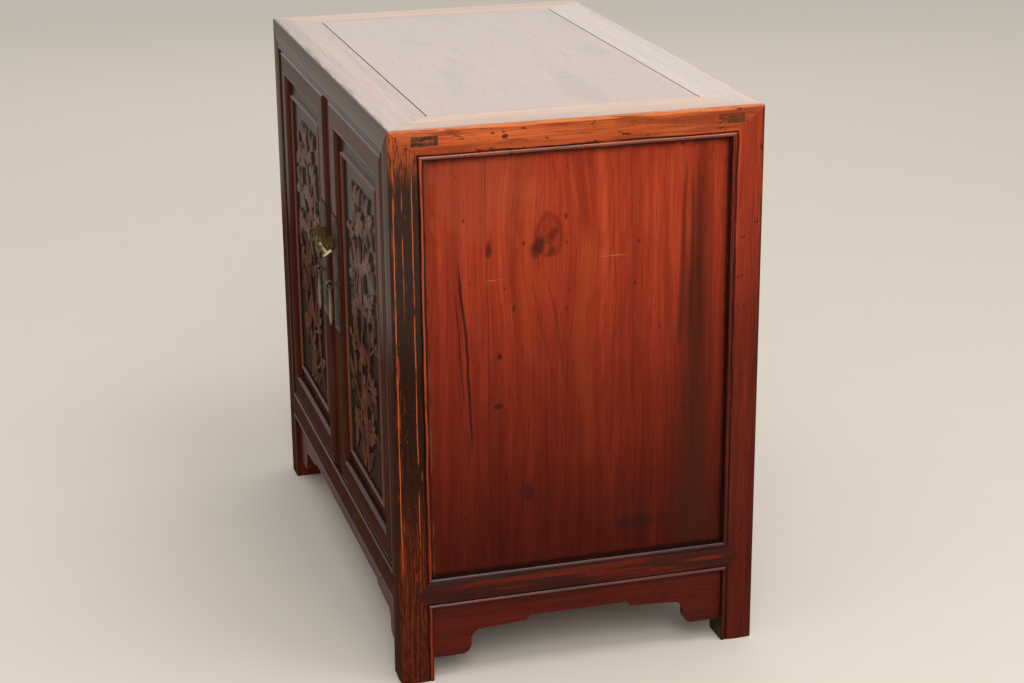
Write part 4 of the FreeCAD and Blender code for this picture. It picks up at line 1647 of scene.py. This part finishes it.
        # Direction, limits, reach, colour, strength and shift of the seed.
        rows = (
            (Axis.DEEP, depths, 0.012, OXBLOOD, 0.4, 3.0),
            (Axis.UP, levels, 0.014, OXBLOOD, 0.6, 4.0),
            (Axis.DEEP, depths, 0.006, GRIME_AND_SHADE, 0.85, 0.0),
            (Axis.UP, levels, 0.008, GRIME_AND_SHADE, 0.85, 2.0),
        )
        dirt_and_shade = [
            DirtAndShade(axis, limits, reach, colour, strength=strength, seed=self.seed + shift)
            for axis, limits, reach, colour, strength, shift in rows
        ]
        rubbed = Rub(
            Axis.DEEP, at=depths[0] + 0.005, width=0.0022, colour=srgb(116, 66, 42),
            fibres=Axis.UP, strength=0.5, broken=0.52, seed=self.seed + 6.0,
        )
        return (*dirt_and_shade, rubbed)

    def finish(self) -> Finish:
        """Finish of the board.

        Returns:
            The finish.
        """
        layers = (
            *self.grain(),
            *self.band(),
            *self.cracks(),
            Knot(Axis.DEEP, self.knot, reach=0.029, ring=RED_DEEP, heart=srgb(56, 22, 14)),
            *self.marks(),
            *self.edges(),
            Dents((16.0, 16.0, 5.0), depth=0.5, seed=self.seed),
        )
        name = f"red_lacquer_panel_{self.hand.word}"
        return Finish(name, RED, layers, roughness=0.34, specular=0.075)


def turned(across: np.ndarray, up: np.ndarray, degrees: float) -> tuple[np.ndarray, np.ndarray]:
    """Offsets counted along a direction and to the left of it.

    Args:
        across, up: Offsets along X and Z.
        degrees: Angle of the direction, from X towards Z.

    Returns:
        The offsets along the direction and beside it.
    """
    cosine, sine = math.cos(math.radians(degrees)), math.sin(math.radians(degrees))
    return across * cosine + up * sine, up * cosine - across * sine


def ahead(x: float, z: float, degrees: float, distance: float) -> Spot:
    """Point at a distance from another, in a direction from X towards Z."""
    angle = math.radians(degrees)
    return x + distance * math.cos(angle), z + distance * math.sin(angle)


def dome(inside: np.ndarray) -> np.ndarray:
    """Round height, from 0 at the rim to 1 in the middle, of one minus the squared distance."""
    return np.sqrt(np.clip(inside, 0.0, 1.0))


class Motif:
    """Something carved that stands up from the ground, in millimetres and degrees."""

    def rise(self, x: np.ndarray, z: np.ndarray) -> np.ndarray:
        """Heights over the ground at places of the panel, and 0 off the motif."""
        raise NotImplementedError


@dataclass(frozen=True)
class Leaf(Motif):
    """A carved leaf: place of its stalk end, direction and size."""

    x: float
    z: float
    turn: float
    length: float
    width: float
    lift: float

    BOW = 2.5
    ARCH = 1.7
    VEIN = 0.28
    VEIN_PITCH = 1.3
    GROOVE = 1.3
    GROOVE_WIDTH = 1.1

    def rise(self, x: np.ndarray, z: np.ndarray) -> np.ndarray:
        """Height of the leaf over the ground.

        A pointed oval, bowed sideways and arched across, with a groove along its
        middle and slanted veins that are a sine of the way along less the way aside.

        Args:
            x, z: Places.

        Returns:
            Heights, and 0 off the leaf.
        """
        along, side = turned(x - self.x, z - self.z, self.turn)
        share = np.clip(along / self.length, 0.0, 1.0)
        bow = np.sin(math.pi * share)
        side = side - self.BOW * bow
        half = self.width / 2 * np.sin(math.pi * share**0.85) ** 0.7 + 1e-6
        inside = np.clip(1.0 - (np.abs(side) / half) ** 2, 0.0, 1.0)
        slant = along * self.VEIN_PITCH - np.abs(side) * self.VEIN_PITCH
        veins = self.VEIN * np.sin(slant) * np.sqrt(inside)
        groove = self.GROOVE * np.exp(-((side / self.GROOVE_WIDTH) ** 2))
        arch = self.ARCH * np.sqrt(inside) * (0.7 + 0.3 * bow)
        body = self.lift + arch + veins - groove
        return np.where((inside > 0.0) & (share > 0.0) & (share < 1.0), body, 0.0)


@dataclass(frozen=True)
class Blossom(Motif):
    """A carved blossom: centre, turn and outer radius."""

    x: float
    z: float
    turn: float
    radius: float

    PETALS = 5
    # Distance of a petal's middle, its half length and half width, and the button, in radii.
    PETAL_OUT = 0.56
    PETAL_LENGTH = 0.48
    PETAL_WIDTH = 0.36
    BUTTON = 0.24
    # Heights of the rims and domes of petals and button, and depth of a petal's crease.
    PETAL_RIM, PETAL_DOME = 1.6, 3.0
    BUTTON_RIM, BUTTON_DOME = 3.2, 2.2
    CREASE = 0.7

    def rise(self, x: np.ndarray, z: np.ndarray) -> np.ndarray:
        """Height of the blossom over the ground.

        Egg-shaped domes, each with a crease from its middle outwards, stand round
        a raised button, and the highest of them counts.

        Args:
            x, z: Places.

        Returns:
            Heights, and 0 off the blossom.
        """
        height = np.zeros_like(x)
        for petal in range(self.PETALS):
            degrees = self.turn + 360.0 / self.PETALS * petal
            out_x, out_z = ahead(0.0, 0.0, degrees, self.PETAL_OUT * self.radius)
            along, aside = turned(x - self.x - out_x, z - self.z - out_z, degrees)
            out = along / (self.PETAL_LENGTH * self.radius)
            side = aside / (self.PETAL_WIDTH * self.radius)
            inside = 1.0 - out**2 - side**2
            crease = self.CREASE * np.exp(-((side / 0.22) ** 2)) * np.clip(out + 0.6, 0.0, 1.0)
            body = self.PETAL_RIM + self.PETAL_DOME * dome(inside) - crease
            height = np.maximum(height, np.where(inside > 0.0, body, 0.0))
        away = np.hypot(x - self.x, z - self.z) / (self.BUTTON * self.radius)
        button = self.BUTTON_RIM + self.BUTTON_DOME * dome(1.0 - away**2)
        return np.maximum(height, np.where(away < 1.0, button, 0.0))


@dataclass(frozen=True)
class Bud(Motif):
    """A carved bud: centre, direction and length."""

    x: float
    z: float
    turn: float
    length: float

    SLIMNESS = 0.33
    RIM, DOME = 1.8, 3.0

    def rise(self, x: np.ndarray, z: np.ndarray) -> np.ndarray:
        """Height of the bud over the ground: half an egg.

        Args:
            x, z: Places.

        Returns:
            Heights, and 0 off the bud.
        """
        along, side = turned(x - self.x, z - self.z, self.turn)
        along, side = along / (self.length / 2), side / (self.length * self.SLIMNESS)
        inside = 1.0 - along**2 - side**2
        return np.where(inside > 0.0, self.RIM + self.DOME * dome(inside), 0.0)


@dataclass(frozen=True)
class Branch(Motif):
    """A carved branch along a chain of points, with its half widths at both ends."""

    points: tuple[Spot, ...]
    thick: float
    thin: float

    RIM = 1.2
    ROUND = 0.7
    BARK = 0.25

    def rise(self, x: np.ndarray, z: np.ndarray) -> np.ndarray:
        """Height of the branch over the ground.

        The distance of each place from the nearest run of the chain gives half a
        round bar, with bark as a sine of that distance and of the way along.

        Args:
            x, z: Places.

        Returns:
            Heights, and 0 off the branch.
        """
        chain = np.array(self.points, float)
        runs = np.diff(chain, axis=0)
        height = np.zeros_like(x)
        for index, (start, run) in enumerate(zip(chain, runs)):
            across, up = x - start[0], z - start[1]
            share = np.clip((across * run[0] + up * run[1]) / (run @ run), 0.0, 1.0)
            away = np.hypot(across - share * run[0], up - share * run[1])
            way = (index + share) / len(runs)
            radius = self.thick + (self.thin - self.thick) * way
            bark = self.BARK * np.sin(away * 3.0 + way * 40.0)
            bar = np.sqrt(np.clip(radius**2 - away**2, 0.0, None)) * self.ROUND
            height = np.maximum(height, np.where(away < radius, self.RIM + bar + bark, 0.0))
        return height


class Cluster(Enum):
    """What grows at a place of the carving's grid, by turns."""

    LARGE_BLOSSOM = 0
    LEAF_SPRAY = 1
    SMALL_BLOSSOM = 2

    @property
    def leaves(self) -> tuple[float, ...]:
        """Directions of the leaves, counted from the cluster's own, in degrees."""
        return ((-110.0, 122.0), (-66.0, 4.0, 74.0), (-84.0, 150.0))[self.value]

    @property
    def stalk(self) -> float:
        """Distance of the leaves' stalk ends from the cluster's middle."""
        return 4.0 if self is Cluster.LEAF_SPRAY else 9.0


def smoothed(heights: np.ndarray, rounds: int) -> np.ndarray:
    """Heights after rounds of taking each point's mean with its four neighbours.

    Args:
        heights: Grid of heights.
        rounds: Number of rounds.

    Returns:
        The smoothed grid.
    """
    for _ in range(rounds):
        wide = np.pad(heights, 1, mode="edge")
        around = wide[:-2, 1:-1] + wide[2:, 1:-1] + wide[1:-1, :-2] + wide[1:-1, 2:]
        heights = (around + heights) / 5.0
    return heights


@dataclass
class Carving:
    """Carved panel of a door: a beaded frame round a flowering branch on a sunk ground.

    The bead, the edges and the grid are in metres, and the motifs in millimetres.
    """

    hand: Hand
    tongue: float = 0.007
    gap: float = 0.0004
    bead_margin: float = 0.0226
    bead_width: float = 0.0055
    bead_rise: float = 0.0045
    step: float = 0.00118
    columns: int = 3
    rows: int = 6
    column_step: float = 56.0
    row_step: float = 59.0
    first_row: float = -150.0
    root_level: float = -206.0
    tip_level: float = 172.0
    stem_spread: float = 27.0
    stem_sway: float = 15.0
    crown: float = 5.4

    @property
    def phase(self) -> float:
        """Shift of the sines, so that the two doors differ."""
        return 0.0 if self.hand is Hand.RIGHT else 1.9

    def stem(self, column: int) -> Branch:
        """Stem that weaves up the panel.

        Across, its line is a sine of the level plus the column's spread, which
        grows from the root upwards.

        Args:
            column: -1, 0 or 1 from one side to the other.

        Returns:
            The stem.
        """
        levels = np.linspace(self.root_level, self.tip_level, 43)
        sway = self.stem_sway * np.sin(levels / 31.0 + 2.1 * column + self.phase)
        spread = column * self.stem_spread * np.clip((levels + 204.0) / 90.0, 0.0, 1.0)
        return Branch(tuple(zip(sway + spread, levels)), thick=4.4, thin=2.8)

    def stem_leaves(self, stem: Branch, column: int) -> list[Motif]:
        """Leaves to both sides of a stem by turns, two at its tip and one at its root.

        Args:
            stem: The stem.
            column: Its column.

        Returns:
            The leaves.
        """
        made = []
        for place, (x, z) in enumerate(stem.points[4::7]):
            lean = 52.0 if (place + column) % 2 else -52.0
            made.append(Leaf(x, z, 90.0 + lean, length=31.0, width=17.0, lift=1.5))
        for lean in (-32.0, 36.0):
            made.append(Leaf(*stem.points[-1], 90.0 + lean, length=34.0, width=18.0, lift=2.0))
        turn = 90.0 - 50.0 * column + 12.0
        made.append(Leaf(*stem.points[0], turn, length=44.0, width=18.0, lift=1.6))
        return made

    def cluster(self, index: int, stem_points: list[Spot]) -> list[Motif]:
        """Blossom, leaves or buds at one place of a staggered grid, with a twig to it.

        The place is shifted a little by sines of its number, and the twig starts
        at the point of a stem that is nearest to a place somewhat below.

        Args:
            index: Number of the place, row by row from below.
            stem_points: Points of all the stems.

        Returns:
            The motifs.
        """
        row, column = index // self.columns, index % self.columns - 1
        shift = 8.0 * math.cos(2.3 * index + self.phase)
        x = column * self.column_step + 8.0 * math.sin(1.7 * index + self.phase)
        z = self.first_row + row * self.row_step + 13.0 * column + shift
        kind = Cluster((index + row + (self.hand is Hand.LEFT)) % len(Cluster))
        turn = 90.0 - 42.0 * column + 24.0 * math.sin(index + self.phase)
        root = min(stem_points, key=lambda point: math.hypot(point[0] - x, point[1] - z + 22.0))
        bend = (0.4 * root[0] + 0.6 * x, 0.55 * root[1] + 0.45 * z)
        made: list[Motif] = [Branch((root, bend, (x, z)), thick=2.8, thin=2.2)]
        for place, angle in enumerate(kind.leaves):
            aim = turn + angle
            length = 35.0 + 5.0 * math.sin(2.0 * index + place)
            lift = 1.5 + 0.9 * (place % 2)
            made.append(Leaf(*ahead(x, z, aim, kind.stalk), aim, length, width=20.0, lift=lift))
        if kind is Cluster.LARGE_BLOSSOM:
            made.append(Blossom(x, z, turn, radius=20.0))
        if kind is Cluster.SMALL_BLOSSOM:
            aim = turn + 20.0
            made.append(Blossom(x, z, turn, radius=15.0))
            made.append(Bud(*ahead(x, z, aim, 22.0), aim, length=19.0))
        return made

    def motifs(self) -> list[Motif]:
        """The carving's stems with their leaves, and the clusters between them.

        Returns:
            The motifs.
        """
        stems = {column: self.stem(column) for column in (-1, 0, 1)}
        points = [point for stem in stems.values() for point in stem.points]
        made: list[Motif] = [*stems.values()]
        for column, stem in stems.items():
            made += self.stem_leaves(stem, column)
        for index in range(self.columns * self.rows):
            made += self.cluster(index, points)
        return made

    def axis_places(self, low: float, high: float) -> np.ndarray:
        """Grid lines across the panel, close together over the bead and the carving.

        Args:
            low, high: Places of the panel's edges.

        Returns:
            Places of the lines.
        """
        first, last = low + self.bead_margin, high - self.bead_margin
        bead = self.bead_width
        count = int(round((last - first - 2 * bead) / self.step)) + 1
        carved = np.linspace(first + bead, last - bead, count)
        near = np.linspace(first, first + bead, 9)
        far = np.linspace(last - bead, last, 9)
        border = np.linspace(0.0, self.bead_margin, 5)[:-1]
        return np.concatenate([low + border, near[:-1], carved, far[1:], high - border[::-1]])

    def build(self) -> bpy.types.Object:
        """Mesh of the panel, closed round its edges and back.

        The face is the ground pushed forward by a height that is a function of
        the place: a half-round bead at a fixed distance from the edge, and inside
        it the highest of all the motifs.

        Returns:
            The new object, riding on its door and standing for the plain panel.
        """
        node = f"{self.hand.word}_door_panel"
        low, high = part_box(node)
        inset = self.tongue + self.gap
        xs = self.axis_places(low.x + inset, high.x - inset)
        zs = self.axis_places(low.z + inset, high.z - inset)
        x, z = np.meshgrid(xs, zs, indexing="ij")
        off = np.minimum(np.minimum(x - xs[0], xs[-1] - x), np.minimum(z - zs[0], zs[-1] - z))
        across = (off - self.bead_margin) / self.bead_width * 2.0 - 1.0
        bead = self.bead_rise * dome(1.0 - across**4)
        local_x = (x - (xs[0] + xs[-1]) / 2) * self.hand.value / MM
        local_z = (z - (zs[0] + zs[-1]) / 2) / MM
        height = np.max([motif.rise(local_x, local_z) for motif in self.motifs()], axis=0)
        height = smoothed(np.minimum(height, self.crown), 1) * MM
        carved = off > self.bead_margin + self.bead_width
        height = np.where(carved, height, np.where(np.abs(across) < 1.0, bead, 0.0))
        face = np.stack([x, low.y + self.bead_rise - height, z], axis=-1)
        return self.solid(node, face, self.shares(height, carved), high.y)

    def shares(self, height: np.ndarray, carved: np.ndarray) -> dict[Share, np.ndarray]:
        """Values that the finish reads at each point.

        The relief is the height, hollows and creases lie under the mean of their
        surroundings, crests stand over it, and steep is the slope. A value of 1 is strong.

        Args:
            height: Grid of heights.
            carved: Where the grid is inside the bead.

        Returns:
            The values, 0 where they don't apply.
        """
        inside = {
            Share.RELIEF: height / (5.0 * MM),
            Share.HOLLOW: (smoothed(height, 5) - height) / (1.6 * MM),
            Share.STEEP: np.hypot(*np.gradient(height, self.step)),
            Share.CREASE: (smoothed(height, 2) - height) / (0.5 * MM),
            Share.CREST: (height - smoothed(height, 6)) / (1.1 * MM),
        }
        made = {share: np.where(carved, values, 0.0) for share, values in inside.items()}
        made[Share.BEAD] = np.where(carved, 0.0, height / self.bead_rise)
        return made

    def solid(
        self, node: str, face: np.ndarray, shares: dict[Share, np.ndarray], back: float
    ) -> bpy.types.Object:
        """Close a face grid with walls and a back.

        Quads join each point to its neighbours, and the walls run from the rim
        of the grid straight back to one flat face.

        Args:
            node: CAD node that the piece stands for.
            face: Grid of points.
            shares: Values at each point, for the attributes that the finish reads.
            back: Level of the back.

        Returns:
            The new object.
        """
        rows, columns = face.shape[:2]
        index = np.arange(rows * columns).reshape(rows, columns)
        corners = [index[:-1, :-1], index[1:, :-1], index[1:, 1:], index[:-1, 1:]]
        quads = np.stack(corners, axis=-1).reshape(-1, 4)
        loop = np.concatenate([index[:-1, 0], index[-1, :-1], index[:0:-1, -1], index[0, :0:-1]])
        rim = face.reshape(-1, 3)[loop].copy()
        rim[:, 1] = back
        under = rows * columns + np.arange(len(loop))
        walls = np.stack([loop, under, np.roll(under, -1), np.roll(loop, -1)], axis=-1)
        points = np.concatenate([face.reshape(-1, 3), rim])
        faces = [*quads.tolist(), *walls.tolist(), under[::-1].tolist()]
        mesh = bpy.data.meshes.new(f"{node}_carving")
        mesh.from_pydata(points.tolist(), [], faces)
        for share, grid in shares.items():
            values = np.concatenate([grid.ravel(), np.zeros(len(loop))]).astype(np.float32)
            mesh.attributes.new(share.value, "FLOAT", "POINT").data.foreach_set("value", values)
        smooth = np.ones(len(faces), bool)
        smooth[len(quads):] = False
        mesh.polygons.foreach_set("use_smooth", smooth)
        mesh.update()
        piece = bpy.data.objects.new(f"{self.hand.word}_door_carving", mesh)
        bpy.context.scene.collection.objects.link(piece)
        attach(piece, f"{self.hand.word}_door")
        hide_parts(node)
        LOG.info("%s has %d faces", piece.name, len(faces))
        return piece

    def finish(self) -> Finish:
        """Finish of the carving: a dark smooth ground and rubbed brown high spots, with painted
        shade in hollows, creases and on steep sides and painted highlights on the crests.

        Returns:
            The finish.
        """
        seed = 91.0 + self.hand.value
        layers = (
            Fibre(
                Axis.UP, srgb(40, 28, 20), srgb(52, 37, 27), srgb(62, 45, 33), seed=seed,
                lines=0.25,
            ),
            Relief(Share.RELIEF, 0.15, 0.4, srgb(66, 39, 28), strength=0.95, roughness=0.36),
            Relief(Share.RELIEF, 0.45, 0.95, srgb(106, 65, 47), strength=0.85),
            Specks(size=0.005, colour=GRIME_AND_SHADE, amount=0.12, strength=0.6, seed=seed),
            # Painted shade in the hollows, in the creases and on the steep sides.
            Relief(Share.HOLLOW, 0.1, 0.6, srgb(20, 11, 8), strength=0.85),
            Relief(Share.CREASE, 0.2, 0.9, srgb(28, 15, 11), strength=0.8),
            Relief(Share.STEEP, 0.6, 1.3, srgb(24, 13, 9), strength=0.85),
            # Painted highlight on the crests, with rubbed wear.
            Relief(Share.CREST, 0.35, 0.9, srgb(148, 106, 86), strength=0.6, gloss=0.3),
            Relief(Share.BEAD, 0.3, 0.6, srgb(98, 54, 32), strength=0.9, gloss=0.45),
            Polish(Axis.UP, at=0.75, width=0.36, weight=0.4),
            Dents((60.0, 60.0, 60.0), depth=0.35, seed=seed),
        )
        name = f"carved_lacquer_{self.hand.word}"
        return dark_finish(name, layers, gloss=0.05, roughness=0.4)


@dataclass
class Door:
    """One door: its frame and carved panel."""

    hand: Hand
    top_glint: float = 0.9
    bottom_glint: float = 0.5
    inner_edge: float = 0.0044

    def name(self, piece: str) -> str:
        """Node name of a piece of this door."""
        return f"{self.hand.word}_door_{piece}"

    def dress(self, carcass: Carcass) -> None:
        """Dress the frame, and build and dress the carving.

        Args:
            carcass: The carcass, whose front lacquer the door shares.
        """
        seed = 101.0 + 7.0 * self.hand.value
        stile = (
            *carcass.front_lacquer_and_shade(Axis.UP, seed),
            Dents((40.0, 40.0, 9.0), depth=0.3, seed=seed),
        )
        upright = dark_finish(f"dark_stile_{self.hand.word}", stile)
        upright.dress(self.name("hinge_stile"), self.name("lock_stile"))
        for rail, glint in (("top_rail", self.top_glint), ("bottom_rail", self.bottom_glint)):
            node = self.name(rail)
            low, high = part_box(node)
            layers = (
                *carcass.front_lacquer_and_shade(Axis.ACROSS, seed + 2.0, red=0.1),
                # Pale line at the rail's inner lower edge: a painted highlight.
                Rub(
                    Axis.UP, at=low.z + self.inner_edge, width=0.0011, colour=PALE_HIGHLIGHT_GREY,
                    fibres=Axis.ACROSS, strength=0.7, broken=0.36, seed=seed,
                ),
                # Dark line at the rail's lower edge: painted shade where it meets the panel.
                Rub(
                    Axis.UP, at=low.z + 0.0012, width=0.0030, colour=GRIME_AND_SHADE, fibres=Axis.ACROSS,
                    strength=0.8, broken=0.3, seed=seed + 1.0,
                ),
                Polish(Axis.UP, at=high.z - 0.0012, width=0.004, weight=glint),
                Dents((9.0, 40.0, 40.0), depth=0.3, seed=seed),
            )
            dark_finish(f"dark_{node}", layers).dress(node)
        carving = Carving(self.hand)
        piece = carving.build()
        piece.data.materials.append(carving.finish().material())


@dataclass
class Brass:
    """Plates, nails, eyes, pulls and the lock pin."""

    hammering: Waves = (160.0, 160.0, 160.0)
    pin_hammering: Waves = (200.0, 200.0, 200.0)
    hammer_depth: float = 0.15

    def aged(self) -> Finish:
        """Dull olive patina with rubbed spots.

        Returns:
            The finish.
        """
        layers = (
            Wear(
                Axis.UP, srgb(146, 126, 80), amount=0.45, strength=0.8, across=120.0,
                lengthwise=60.0, seed=2.0,
            ),
            Wear(
                Axis.UP, srgb(52, 42, 25), amount=0.45, strength=0.75, across=200.0,
                lengthwise=150.0, seed=5.0,
            ),
            Specks(size=0.003, colour=srgb(60, 60, 42), amount=0.14, strength=0.6, seed=3.0),
            Dents(self.hammering, self.hammer_depth, seed=1.0),
        )
        colour = srgb(110, 92, 54)
        return Finish("aged_brass", colour, layers, roughness=0.42, specular=0.5, metallic=0.8)

    def dull(self) -> Finish:
        """Plates that have gone nearly as dark as the doors.

        Returns:
            The finish.
        """
        layers = (
            Wear(
                Axis.UP, srgb(84, 71, 45), amount=0.46, strength=0.5, across=180.0,
                lengthwise=60.0, seed=7.0,
            ),
            Wear(
                Axis.UP, srgb(30, 23, 15), amount=0.48, strength=0.55, across=260.0,
                lengthwise=160.0, seed=9.0,
            ),
            Dents(self.hammering, self.hammer_depth, seed=4.0),
        )
        colour = srgb(58, 47, 30)
        return Finish("dull_brass", colour, layers, roughness=0.6, specular=0.2, metallic=0.35)

    def handled(self) -> Finish:
        """Pulls that fingers have kept a little lighter than their plates.

        Returns:
            The finish.
        """
        layers = (
            Wear(
                Axis.UP, srgb(136, 118, 78), amount=0.42, strength=0.7, across=200.0,
                lengthwise=60.0, seed=3.0,
            ),
            Dents(self.hammering, self.hammer_depth, seed=6.0),
        )
        colour = srgb(86, 71, 44)
        return Finish("handled_brass", colour, layers, roughness=0.44, metallic=0.6)

    def bright(self) -> Finish:
        """Brass that use has kept bright.

        Returns:
            The finish.
        """
        layers = (
            Wear(
                Axis.ACROSS, srgb(140, 122, 84), amount=0.44, strength=0.7, across=300.0,
                lengthwise=60.0, seed=4.0,
            ),
            Dents(self.pin_hammering, depth=0.1, seed=2.0),
        )
        colour = srgb(186, 170, 134)
        return Finish("bright_brass", colour, layers, roughness=0.36, specular=0.5, metallic=0.9)

    def dress(self) -> None:
        """Dress the hardware of both doors and the pin."""
        finishes = (
            (self.aged(), ("plate_nails", "eye")),
            (self.dull(), ("plate",)),
            (self.handled(), ("pull_staple", "pull")),
        )
        for finish, pieces in finishes:
            finish.dress(*[f"{hand.word}_door_{piece}" for hand in Hand for piece in pieces])
        self.bright().dress("lock_pin")


@dataclass
class Studio:
    """Floor, light and camera."""

    reach: float = 160.0
    sky: Rgb = (0.97, 0.98, 1.0)
    sky_strength: float = 0.78
    lens: float = 75.56
    sensor: float = 36.0
    eye: Point = (2.9756, -0.80555, 1.3931)
    right: Point = (0.27448, 0.96155, -0.00939)
    down: Point = (0.30962, -0.09762, -0.94584)
    forward: Point = (-0.91038, 0.25671, -0.32451)

    def floor(self) -> None:
        """Lay a plain pale floor."""
        corners = np.array([[-1, -1, 0], [1, -1, 0], [1, 1, 0], [-1, 1, 0]], float) * self.reach
        mesh = bpy.data.meshes.new("floor")
        mesh.from_pydata(corners.tolist(), [], [(0, 1, 2, 3)])
        piece = bpy.data.objects.new("floor", mesh)
        bpy.context.scene.collection.objects.link(piece)
        lighter = srgb(216, 206, 192)
        layers = (
            Fade(Axis.ACROSS, start=-3.0, end=3.0, colour=lighter, strength=0.6, cloud=0.05),
        )
        pale = Finish("pale_floor", srgb(212, 201, 186), layers, roughness=0.85, specular=0.2)
        mesh.materials.append(pale.material())

    def world(self) -> None:
        """Set soft white light from all round."""
        made = bpy.data.worlds.new("studio")
        made.use_nodes = True
        graph = Graph(made.node_tree)
        sockets = {"Color": opaque(self.sky), "Strength": self.sky_strength}
        sky = graph.node("ShaderNodeBackground", {}, sockets)
        graph.node("ShaderNodeOutputWorld", {}, {"Surface": sky})
        bpy.context.scene.world = made

    def lamp(self, name: str, place: Point, aim: Point, size: Spot, watts: float) -> None:
        """Add a soft lamp.

        Args:
            name: Name of the lamp.
            place, aim: Where it is and what it points at.
            size: Width and height of its face.
            watts: Power.
        """
        lamp = bpy.data.lights.new(name, "AREA")
        lamp.shape = "RECTANGLE"
        lamp.size, lamp.size_y = size
        lamp.energy = watts
        piece = bpy.data.objects.new(name, lamp)
        piece.location = place
        piece.rotation_mode = "QUATERNION"
        piece.rotation_quaternion = (Vector(aim) - Vector(place)).to_track_quat("-Z", "Y")
        bpy.context.scene.collection.objects.link(piece)

    def camera(self) -> None:
        """Put the camera where the photograph was taken from."""
        data = bpy.data.cameras.new("camera")
        data.lens = self.lens
        data.sensor_width = self.sensor
        data.clip_start, data.clip_end = 0.05, 500.0
        piece = bpy.data.objects.new("camera", data)
        up, backward = np.negative(self.down), np.negative(self.forward)
        axes = np.array([self.right, up, backward, self.eye]).T
        piece.matrix_world = Matrix([*axes.tolist(), [0.0, 0.0, 0.0, 1.0]])
        bpy.context.scene.collection.objects.link(piece)
        bpy.context.scene.camera = piece

    def build(self) -> None:
        """Set up the floor, the light and the camera."""
        self.floor()
        self.world()
        self.lamp("key", place=(3.6, -0.4, 3.0), aim=(0.0, 0.0, 0.4), size=(2.4, 2.4), watts=80.0)
        self.lamp(
            "overhead", place=(0.97, 0.72, 3.05), aim=(0.41, 0.0, 0.45), size=(1.3, 1.3),
            watts=26.0,
        )
        self.lamp("back", place=(-3.6, 0.8, 2.2), aim=(0.0, 0.0, 0.7), size=(4.0, 1.8), watts=15.0)
        self.camera()
        bpy.context.scene.view_settings.view_transform = "Standard"


def main() -> None:
    """Load the solids, dress them, build the carvings and set up the studio."""
    logging.basicConfig(level=logging.INFO)
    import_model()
    carcass = Carcass.from_frame()
    carcass.dress()
    for hand in Hand:
        Door(hand).dress(carcass)
    Brass().dress()
    Studio().build()
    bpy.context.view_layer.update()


if __name__ == "__main__":
    main()
